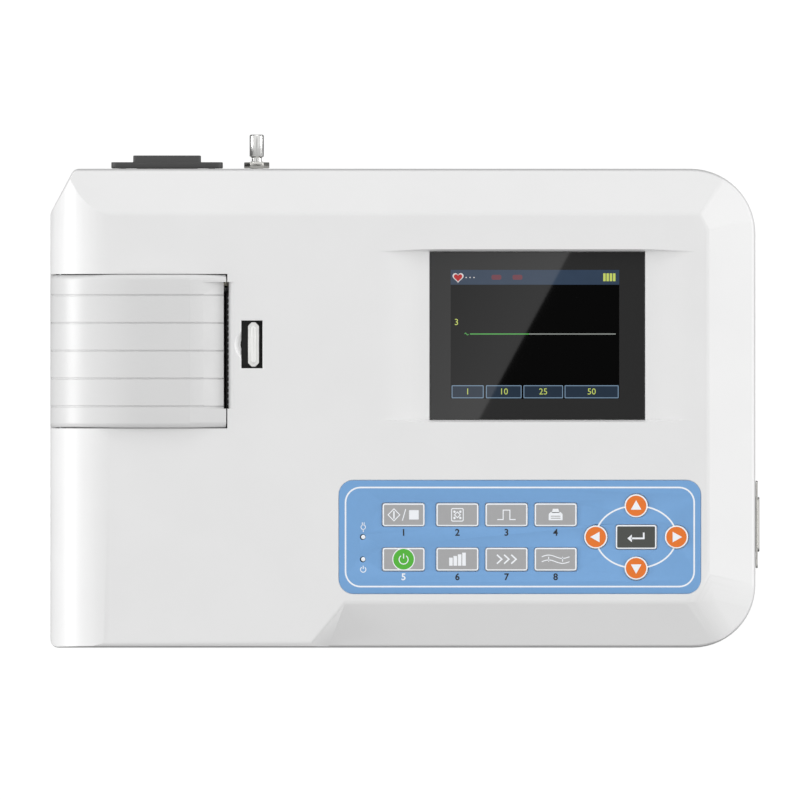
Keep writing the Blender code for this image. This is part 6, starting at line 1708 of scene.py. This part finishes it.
@dataclass
class Keypad:
    """The blue overlay with its keys, lights and printed marks."""

    border: float = 0.6
    edge: float = 0.22
    line: float = 0.42
    ring_line: float = 0.7
    ring_rx: float = 18.0
    ring_ry: float = 13.9
    seat_fill: float = 0.22
    icons: tuple[tuple[str, Icon, str], ...] = (
        ("start", Icon.START, "1"), ("mode", Icon.MODE, "2"), ("pulse", Icon.PULSE, "3"),
        ("print", Icon.PRINT, "4"), ("power", Icon.POWER, "5"), ("gain", Icon.GAIN, "6"),
        ("speed", Icon.SPEED, "7"), ("filter", Icon.FILTER, "8"))

    def cap(self, name: str, face: Finish, slot: str) -> None:
        """Make one key cap with its white rim.

        Args:
            name: the key's name.
            face: finish of its face.
            slot: the record's material slot.
        """
        shape = softened(f"key_{name}", every_edge(self.edge, 60), self.edge, 3)
        tops = [f for f in shape.bm.faces if f.normal.z > 0.999
                and f.calc_center_median().z > DECK + 0.1]
        top = max(tops, key=lambda f: f.calc_area())
        rim = self.border - self.edge
        bmesh.ops.inset_region(shape.bm, faces=[top], thickness=rim, use_even_offset=True)
        for f in shape.bm.faces:
            f.material_index = 0
        top.material_index = 1
        place(shape, f"cap_{name}", f"{name}_button", [INK_WHITE, face], slot,
              (f"key_{name}",), 28, outward=False)

    def draw(self, name: str, icon: Icon) -> None:
        """Print a key's icon.

        Args:
            name: the key's name.
            icon: which icon.
        """
        x, y, z = top_of(f"key_{name}")
        low, high = z - INK, z + INK
        mark = Shape()
        finishes: list[Finish] = [INK_WHITE]
        w = self.line
        if icon is Icon.START:
            mark.ribbon(moved([(0, 3), (-2.9, 0), (0, -3), (2.9, 0)], x - 4.3, y, 0.9), w, low,
                        high, closed=True)
            mark.ribbon(moved([(0, 1.7), (0, -1.7)], x - 4.3, y), w * 1.6, low, high)
            mark.ribbon(moved([(-0.75, -2.6), (0.75, 2.6)], x + 0.2, y), w, low, high)
            mark.slab(rounded_rectangle(x + 4.6, y, 4.3, 4.2, 0.1, 1), low, high)
        elif icon is Icon.MODE:
            mark.ribbon(rounded_rectangle(x, y, 5.2, 5.6, 0.5, 2), w, low, high, closed=True)
            for dx, dy in ((-1.3, 1.4), (1.3, 1.4), (-1.3, -1.4), (1.3, -1.4)):
                mark.slab(ellipse(x + dx, y + dy, 0.55, 0.55, 14), low, high)
            mark.ribbon(moved([(0, 1.3), (-1.3, 0), (0, -1.3), (1.3, 0)], x, y), w, low, high,
                        closed=True)
        elif icon is Icon.PULSE:
            mark.ribbon(moved([(-4.1, -2.1), (-1.5, -2.1), (-1.5, 2.1), (1.5, 2.1),
                               (1.5, -2.1), (4.1, -2.1)], x, y), w * 1.1, low, high)
        elif icon is Icon.PRINT:
            finishes = [INK_WHITE, KEY_GREY]
            mark.slab(moved([(-3.1, -2.4), (3.1, -2.4), (3.1, 0.4), (2.2, 1.2), (-2.2, 1.2),
                             (-3.1, 0.4)], x, y), low, high)
            mark.slab(moved([(-1.7, 0.9), (1.7, 0.9), (1.2, 2.7), (-1.2, 2.7)], x, y), low, high)
            for dy in (-1.5, -0.6):
                mark.slab(rounded_rectangle(x, y + dy, 4.4, 0.35, 0.1, 1), high, high + INK,
                          finish=1)
        elif icon is Icon.POWER:
            finishes = [INK_WHITE, KEY_GREEN]
            mark.slab(ellipse(x, y, 5.05, 5.05, 56), low, high)
            mark.slab(ellipse(x, y, 4.6, 4.6, 56), high, high + INK, finish=1)
            mark.ribbon(ellipse(x, y - 0.15, 2.0, 2.0, 30, 125, 415), w, high + INK,
                        high + 2 * INK)
            mark.ribbon([(x, y + 0.3), (x, y + 2.5)], w, high + INK, high + 2 * INK)
        elif icon is Icon.GAIN:
            for i in range(4):
                height = 3.6 + 0.75 * i
                mark.slab(rounded_rectangle(x - 2.9 + 1.95 * i, y - 2.9 + height / 2, 1.6,
                                            height, 0.08, 1), low, high)
        elif icon is Icon.SPEED:
            for dx in (-3.2, 0.0, 3.2):
                mark.ribbon(moved([(-1.1, 2.0), (1.1, 0), (-1.1, -2.0)], x + dx, y), w * 1.6,
                            low, high)
        else:
            for dy in (1.1, -1.1):
                wave = [(x - 6.2 + 0.62 * i, y + dy + 0.75 * math.sin(math.pi * i / 10))
                        for i in range(21)]
                mark.ribbon(wave, w, low, high)
            for dx in (-3.1, 3.1):
                mark.ribbon([(x + dx, y - 1.1), (x + dx, y + 1.1)], w, low, high)
        place(mark, f"icon_{icon.value}", f"{name}_button", finishes, "key_grey")

    def arrows(self) -> None:
        """Make the four round arrow keys with their triangles."""
        for name, turn in (("up", 90), ("left", 180), ("down", 270), ("right", 0)):
            self.cap(name, KEY_ORANGE, "key_orange")
            x, y, z = top_of(f"key_{name}")
            points = [(2.5, 0), (-1.7, 2.35), (-1.7, -2.35)]
            c, s = math.cos(math.radians(turn)), math.sin(math.radians(turn))
            turned = [(x + c * px - s * py, y + s * px + c * py) for px, py in points]
            mark = Shape().slab(turned, z - INK, z + INK)
            place(mark, f"icon_{name}", f"{name}_button", [INK_WHITE], "key_orange")

    def printed(self) -> None:
        """Print the overlay's outline, ring, key numbers and light symbols."""
        low, high = box_of("keypad_panel")
        z0, z1 = high.z - INK, high.z + INK
        middle = (low + high) / 2
        outline = rounded_rectangle(middle.x, middle.y, 155.5, 44.2, 6.7, 8)
        white = Shape().ribbon(outline, 0.7, z0, z1, closed=True)
        x, y, _ = top_of("key_set")
        for start, end in ((21, 73.4), (106.6, 159), (201, 253.4), (286.6, 339)):
            white.ribbon(ellipse(x, y, self.ring_rx, self.ring_ry, 20, start, end),
                         self.ring_line, z0, z1)
        lx, ly, _ = top_of("mains_light")
        white.ribbon(ellipse(lx, ly + 4.4, 1.0, 1.0, 16, 0, 360), 0.3, z0, z1, closed=True)
        white.ribbon([(lx - 0.4, ly + 5.3), (lx - 0.4, ly + 6.5)], 0.32, z0, z1)
        white.ribbon([(lx + 0.4, ly + 5.3), (lx + 0.4, ly + 6.5)], 0.32, z0, z1)
        white.ribbon([(lx, ly + 3.4), (lx, ly + 2.2)], 0.32, z0, z1)
        bx, by, _ = top_of("battery_light")
        white.ribbon(ellipse(bx, by - 4.6, 1.2, 1.2, 22, 125, 415), 0.36, z0, z1)
        white.ribbon([(bx, by - 4.4), (bx, by - 2.9)], 0.36, z0, z1)
        black = Shape()
        for name, icon, number in self.icons:
            kx, ky, _ = top_of(f"key_{name}")
            target = white if icon is Icon.POWER else black
            target.text(number, 4.2, kx, ky - 8.0, z0, z1, 0, 0.1)
        place(white, "overlay_white_print", "recorder", [INK_WHITE], "panel_blue")
        place(black, "overlay_black_print", "recorder", [INK_BLACK], "panel_blue")

    def build(self) -> None:
        """Make the overlay, the keys and everything printed on them."""
        panel = softened("keypad_panel", every_edge(0.25, 60), 0.25, 2)
        low, high = box_of("keypad_panel")
        middle, size = (low + high) / 2, high - low
        grown_by = Vector((1 + 2 * self.seat_fill / size.x, 1 + 2 * self.seat_fill / size.y, 1))
        bmesh.ops.scale(panel.bm, verts=panel.bm.verts, vec=grown_by,
                        space=Matrix.Translation(-middle))
        place(panel, "overlay", "recorder", [OVERLAY_BLUE], "panel_blue", ("keypad_panel",),
              28, outward=False)
        for name, icon, _ in self.icons:
            self.cap(name, KEY_GREY, "key_grey")
            self.draw(name, icon)
        self.arrows()
        self.cap("set", KEY_DARK, "key_dark")
        x, y, z = top_of("key_set")
        enter = Shape()
        enter.ribbon(moved([(3.4, 2.0), (3.4, -0.6), (-2.2, -0.6)], x, y), 0.75, z - INK,
                     z + INK)
        enter.slab(moved([(-3.9, -0.6), (-1.9, -2.3), (-1.9, 1.1)], x, y), z - INK, z + INK)
        place(enter, "icon_enter", "set_button", [INK_WHITE], "key_dark")
        self.printed()
        for node in ("mains_light", "battery_light"):
            x, y, z = top_of(node)
            low, _ = box_of(node)
            dome = Shape().lathe([(1.0, low.z), (1.0, z - 0.3), (0.92, z - 0.12),
                                  (0.7, z - 0.02), (0.3, z)], 32,
                                 Matrix.Translation((x, y, 0)))
            place(dome, f"{node}_dome", "recorder", [LIGHT_RESIN], "light_lens", (node,))
        dress("keypad_board", BOARD)


@dataclass
class Ports:
    """Mains inlet, earth stud and patient socket."""

    contact_pitch: float = 2.76
    contact_rows: float = 2.84
    contact_radius: float = 0.5
    contact_bore: float = 0.32
    pin_width: float = 2.0
    pin_height: float = 4.0
    pins: tuple[tuple[float, float], ...] = ((-7.0, -2.0), (7.0, -2.0), (0.0, 2.0))
    pin_span: tuple[float, float] = (16.0, 1.0)
    stud_reach: float = 12.1
    screw_head: float = 2.8
    screw_shank: float = 1.5

    def inlet(self) -> None:
        """Make the inlet with soft edges and bright pins, and its two sunk screws."""
        low, high = box_of("mains_inlet")
        x, z = (low.x + high.x) / 2, (low.z + high.z) / 2
        shape = softened("mains_inlet", every_edge(0.3, 50), 0.3, 2)
        for part in shape.bm.faces:
            spot = part.calc_center_median()
            part.material_index = 0
            for across, up in self.pins:
                if (abs(spot.x - x - across) < self.pin_width / 2 + 0.01
                        and abs(spot.z - z - up) < self.pin_height / 2 + 0.01
                        and high.y - self.pin_span[0] < spot.y < high.y - self.pin_span[1]):
                    part.material_index = 1
        place(shape, "inlet_body", "recorder", [INLET_NYLON, NICKEL], "inlet_black",
              ("mains_inlet",), 30, outward=False)
        points = []
        for side in ("left", "right"):
            low, high = box_of(f"inlet_screw_{side}")
            points.append(((low.x + high.x) / 2, low.y, (low.z + high.z) / 2))
        screw = Screw(self.screw_head, 0.0, self.screw_shank, high.y - low.y, sunk=True)
        made = Copies(points, (-math.pi / 2, 0, 0)).build(screw.build(), SCREW_STEEL)
        place(made, "inlet_screws", "recorder", [SCREW_STEEL], "screw_steel",
              ("inlet_screw_left", "inlet_screw_right"), 35, outward=False)

    def stud(self) -> None:
        """Turn the polished stud, and soften the nut that holds it."""
        low, high = box_of("earth_stud")
        r, reach = (high.x - low.x) / 2, high.y - low.y
        neck = reach - self.stud_reach
        profile = [(2.8, 0.0), (2.8, neck), (2.2, neck + 0.1), (2.2, neck + 1.7),
                   (r - 0.1, neck + 2.3), (r, neck + 2.45), (r, reach - 0.7),
                   (r - 0.12, reach - 0.32), (r - 0.4, reach - 0.08), (r - 0.7, reach)]
        at = Matrix.Translation(((low.x + high.x) / 2, low.y, (low.z + high.z) / 2))
        turn = at @ Matrix.Rotation(math.radians(-90), 4, "X")
        place(Shape().lathe(profile, 64, turn), "stud_pin", "recorder", [POLISHED], "nickel",
              ("earth_stud",), 35)
        nut = softened("earth_nut", every_edge(0.25, 40), 0.25, 2)
        place(nut, "stud_nut", "recorder", [NICKEL], "nickel", ("earth_nut",), 30,
              outward=False)

    def socket(self) -> None:
        """Make the plated shell, the insulator, and its fifteen gold sleeves."""
        shell = softened("socket_shell", every_edge(0.22, 50), 0.22, 2)
        place(shell, "socket_rim", "recorder", [NICKEL], "nickel", ("socket_shell",), 30,
              outward=False)
        dress("socket_insulator", INSULATOR_PBT)
        low, high = box_of("socket_insulator")
        y, z = (low.y + high.y) / 2, (low.z + high.z) / 2
        points = []
        for row, count in ((1, 8), (-1, 7)):
            for i in range(count):
                points.append((low.x + 0.6, y + (i - (count - 1) / 2) * self.contact_pitch,
                               z + row * self.contact_rows / 2))
        length = high.x - low.x - 1.0
        profile = [(self.contact_radius, 0.0), (self.contact_radius, length - 0.1),
                   (self.contact_radius - 0.08, length), (self.contact_bore, length - 0.12),
                   (self.contact_bore, 0.0)]
        rings = [[Vector((px, py, h)) for px, py in ellipse(0, 0, r, r, 12)]
                 for r, h in profile]
        sleeve = Shape().loft(rings, loop=True)
        bmesh.ops.recalc_face_normals(sleeve.bm, faces=sleeve.bm.faces[:])
        made = Copies(points, (0, math.pi / 2, 0)).build(sleeve, GOLD)
        place(made, "socket_sleeves", "recorder", [GOLD], "nickel", (), 35, outward=False)

    def build(self) -> None:
        """Make the three ports."""
        self.inlet()
        self.stud()
        self.socket()


@dataclass
class Underside:
    """Feet and case screws."""

    sides: tuple[str, ...] = ("front_left", "front_right", "back_left", "back_right")
    screw_height: float = 1.33
    screw_shank: float = 1.5

    def spots(self, kind: str) -> tuple[list[Spot], Vector]:
        """Find where each of four equal CAD nodes stands.

        Args:
            kind: the start of the nodes' names.

        Returns:
            The middle of each node's top, and the size of the last.
        """
        points = []
        size = Vector()
        for side in self.sides:
            low, high = box_of(f"{kind}_{side}")
            points.append(((low.x + high.x) / 2, (low.y + high.y) / 2, high.z))
            size = high - low
        return points, size

    def build(self) -> None:
        """Make the feet, with a ring that they stand on, and the four screws."""
        points, size = self.spots("foot")
        r, tall = size.x / 2, size.z
        foot = Shape().lathe([
            (2.8, tall - 0.55), (3.3, tall - 0.2), (4.6, tall - 0.15), (4.9, tall),
            (6.9, tall), (7.4, tall - 0.1), (r - 0.18, tall - 0.5), (r, tall - 1.1),
            (r, 0.0)][::-1], 48, Matrix.Identity(4))
        made = Copies(points, (math.pi, 0, 0)).build(foot, FOOT_RUBBER)
        place(made, "rubber_feet", "recorder", [FOOT_RUBBER], "foot_rubber",
              tuple(f"foot_{side}" for side in self.sides), 35)
        points, size = self.spots("case_screw")
        screw = Screw(size.x / 2, self.screw_height, self.screw_shank,
                      size.z - self.screw_height)
        made = Copies(points, (math.pi, 0, 0)).build(screw.build(), SCREW_STEEL)
        place(made, "case_screws", "recorder", [SCREW_STEEL], "screw_steel",
              tuple(f"case_screw_{side}" for side in self.sides), 35, outward=False)


@dataclass
class Internals:
    """Boards and battery inside the case."""

    def build(self) -> None:
        """Dress the boards and the battery."""
        dress("main_board", BOARD)
        dress("power_board", BOARD)
        pack = softened("battery_pack", every_edge(1.0, 50), 1.0, 3)
        place(pack, "battery_sleeve", "recorder", [BATTERY_VINYL], "battery_wrap",
              ("battery_pack",), 35, outward=False)


# Studio


@dataclass
class Panel:
    """A soft light: where it stands, its size, and its power."""

    name: str
    place: Spot
    width: float
    height: float
    power: float


@dataclass
class Studio:
    """Camera, lights, floor and the card that the window reflects; sizes in metres."""

    camera_x: float = -0.0023
    camera_y: float = -0.00404
    camera_z: float = 15.93
    lens: float = 1600.0
    card_z: float = 0.75
    card_overrun: float = 0.15
    card_margin: float = 0.05
    card_fade: float = 0.1
    card_levels: tuple[float, float] = (0.44, 1.1)
    window_z: float = 0.070
    # Corners of the glare on the window, in millimetres.
    glare: tuple[tuple[float, float], ...] = (
        (73.5, 62.0), (32.9, -12.8), (-30.0, -12.8), (-30.0, 62.0))
    sky_under: float = 0.2
    sky_low: float = 0.38
    sky_high: float = 1.1
    sky_front: float = 0.55
    panels: tuple[Panel, ...] = (
        Panel("soft_left", (-2.27, 0.0, 0.34), 1.6, 0.6, 31.0),
        Panel("soft_right", (2.25, 0.1, 0.42), 1.6, 0.7, 28.0),
        Panel("soft_back", (0.0, 2.16, 0.79), 1.8, 0.7, 10.0),
    )

    def sky_light(self) -> None:
        """Light the scene from all round, dimmer at the front and dark at the zenith."""
        world = bpy.data.worlds.new("soft_room")
        bpy.context.scene.world = world
        world.use_nodes = True
        tree = world.node_tree
        tree.nodes.clear()
        way = add_node(tree, "ShaderNodeTexCoord")
        up = add_node(tree, "ShaderNodeSeparateXYZ", {0: way.outputs["Generated"]})
        level = add_node(tree, "ShaderNodeMapRange", {
            "Value": up.outputs["Z"], "From Min": 0.0, "From Max": 0.95,
            "To Min": self.sky_low, "To Max": self.sky_high}).outputs[0]
        under = add_node(tree, "ShaderNodeMapRange", {
            "Value": up.outputs["Z"], "From Min": -0.12, "From Max": 0.0,
            "To Min": self.sky_under / self.sky_low, "To Max": 1.0}).outputs[0]
        zenith = add_node(tree, "ShaderNodeMapRange", {
            "Value": up.outputs["Z"], "From Min": 0.965, "From Max": 0.992,
            "To Min": 1.0, "To Max": 0.03}, interpolation_type="SMOOTHSTEP").outputs[0]
        front = add_node(tree, "ShaderNodeMapRange", {
            "Value": up.outputs["Y"], "From Min": -0.9, "From Max": -0.2,
            "To Min": self.sky_front, "To Max": 1.0}, interpolation_type="SMOOTHSTEP").outputs[0]
        for factor in (under, zenith, front):
            level = add_node(tree, "ShaderNodeMath", {0: level, 1: factor},
                             operation="MULTIPLY").outputs[0]
        light = add_node(tree, "ShaderNodeBackground", {
            "Color": (1, 1, 1, 1), "Strength": level})
        add_node(tree, "ShaderNodeOutputWorld", {"Surface": light.outputs[0]})

    def soft_lights(self) -> None:
        """Set up the large soft lights, each turned to the recorder."""
        for panel in self.panels:
            data = bpy.data.lights.new(panel.name, "AREA")
            data.shape, data.size, data.size_y = "RECTANGLE", panel.width, panel.height
            data.energy = panel.power
            lamp = bpy.data.objects.new(panel.name, data)
            lamp.location = panel.place
            aim = Vector((0, 0, 0.05)) - Vector(panel.place)
            lamp.rotation_euler = aim.to_track_quat("-Z", "Y").to_euler()
            lamp.visible_camera = False
            bpy.context.scene.collection.objects.link(lamp)

    def floor(self) -> None:
        """Lay the pale floor, lit evenly so that it stays near white."""
        bm = bmesh.new()
        bmesh.ops.create_grid(bm, x_segments=2, y_segments=2, size=9.0)
        mesh = bpy.data.meshes.new("studio_floor")
        bm.to_mesh(mesh)
        bm.free()
        ground = bpy.data.objects.new("studio_floor", mesh)
        bpy.context.scene.collection.objects.link(ground)
        made = bpy.data.materials.new("pale_floor")
        made.use_nodes = True
        shader = made.node_tree.nodes["Principled BSDF"]
        shader.inputs["Base Color"].default_value = linear("#787878")
        shader.inputs["Roughness"].default_value = 0.9
        shader.inputs["Specular IOR Level"].default_value = 0.0
        shader.inputs["Emission Color"].default_value = (1, 1, 1, 1)
        shader.inputs["Emission Strength"].default_value = 0.9
        tree = made.node_tree
        side = add_node(tree, "ShaderNodeNewGeometry")
        clear = add_node(tree, "ShaderNodeBsdfTransparent")
        mix = add_node(tree, "ShaderNodeMixShader", {0: side.outputs["Backfacing"],
                                                     1: shader.outputs[0],
                                                     2: clear.outputs[0]})
        tree.links.new(mix.outputs[0], tree.nodes["Material Output"].inputs["Surface"])
        mesh.materials.append(made)
        ground.visible_diffuse = ground.visible_glossy = False

    def glare_card(self) -> None:
        """Hang the card whose straight edge shows as the slanting glare on the window."""
        height = self.card_z - self.window_z
        spread = 1 + height / (self.camera_z - self.window_z)
        points = []
        for x, y in self.glare:
            points.append((self.camera_x + (x * MM - self.camera_x) * spread,
                           self.camera_y + (y * MM - self.camera_y) * spread))
        edge = Vector(points[0]) - Vector(points[1])
        top = Vector(points[0]) + edge * self.card_overrun
        foot = Vector(points[1]) - edge * self.card_overrun
        corners = [top, foot, Vector((points[2][0] - self.card_margin, foot.y)),
                   Vector((points[3][0] - self.card_margin, top.y))]
        mesh = bpy.data.meshes.new("glare_card")
        mesh.from_pydata([(c.x, c.y, self.card_z) for c in corners], [], [(0, 1, 2, 3)])
        card = bpy.data.objects.new("glare_card", mesh)
        bpy.context.scene.collection.objects.link(card)
        made = bpy.data.materials.new("card_light")
        made.use_nodes = True
        tree = made.node_tree
        tree.nodes.clear()
        spot = add_node(tree, "ShaderNodeTexCoord")
        split = add_node(tree, "ShaderNodeSeparateXYZ", {0: spot.outputs["Object"]})
        slope = (points[0][0] - points[1][0]) / (points[0][1] - points[1][1])
        lean = add_node(tree, "ShaderNodeMath", {
            0: split.outputs["Y"], 1: -slope}, operation="MULTIPLY").outputs[0]
        across = add_node(tree, "ShaderNodeMath", {
            0: split.outputs["X"], 1: lean}, operation="ADD").outputs[0]
        start = points[1][0] - slope * points[1][1]
        level = add_node(tree, "ShaderNodeMapRange", {
            "Value": across, "From Min": start - self.card_fade, "From Max": start,
            "To Min": self.card_levels[0], "To Max": self.card_levels[1]})
        light = add_node(tree, "ShaderNodeEmission", {"Strength": level.outputs[0]})
        add_node(tree, "ShaderNodeOutputMaterial", {"Surface": light.outputs[0]})
        mesh.materials.append(made)
        card.visible_camera = card.visible_diffuse = card.visible_shadow = False
        card.visible_transmission = card.visible_volume_scatter = False

    def camera(self) -> None:
        """Set the camera straight above, as far off as the photograph's flat view needs."""
        data = bpy.data.cameras.new("camera_above")
        data.lens, data.sensor_width = self.lens, 36.0
        data.clip_start, data.clip_end = 0.1, 50.0
        made = bpy.data.objects.new("camera_above", data)
        made.location = (self.camera_x, self.camera_y, self.camera_z)
        bpy.context.scene.collection.objects.link(made)
        bpy.context.scene.camera = made

    def build(self) -> None:
        """Set up the whole studio."""
        self.camera()
        self.sky_light()
        self.soft_lights()
        self.floor()
        self.glare_card()
        view = bpy.context.scene.view_settings
        view.view_transform, view.look = "Standard", "None"
        view.exposure, view.gamma = 0.0, 1.0


def main() -> None:
    """Build the studio and every sub-assembly, in order."""
    logging.basicConfig(level=logging.INFO, format="%(name)s: %(message)s")
    for part in (Studio(), Casework(), PaperDoor(), Printer(), Latch(), Screen(), Keypad(),
                 Ports(), Underside(), Internals()):
        part.build()


if __name__ == "__main__":
    main()
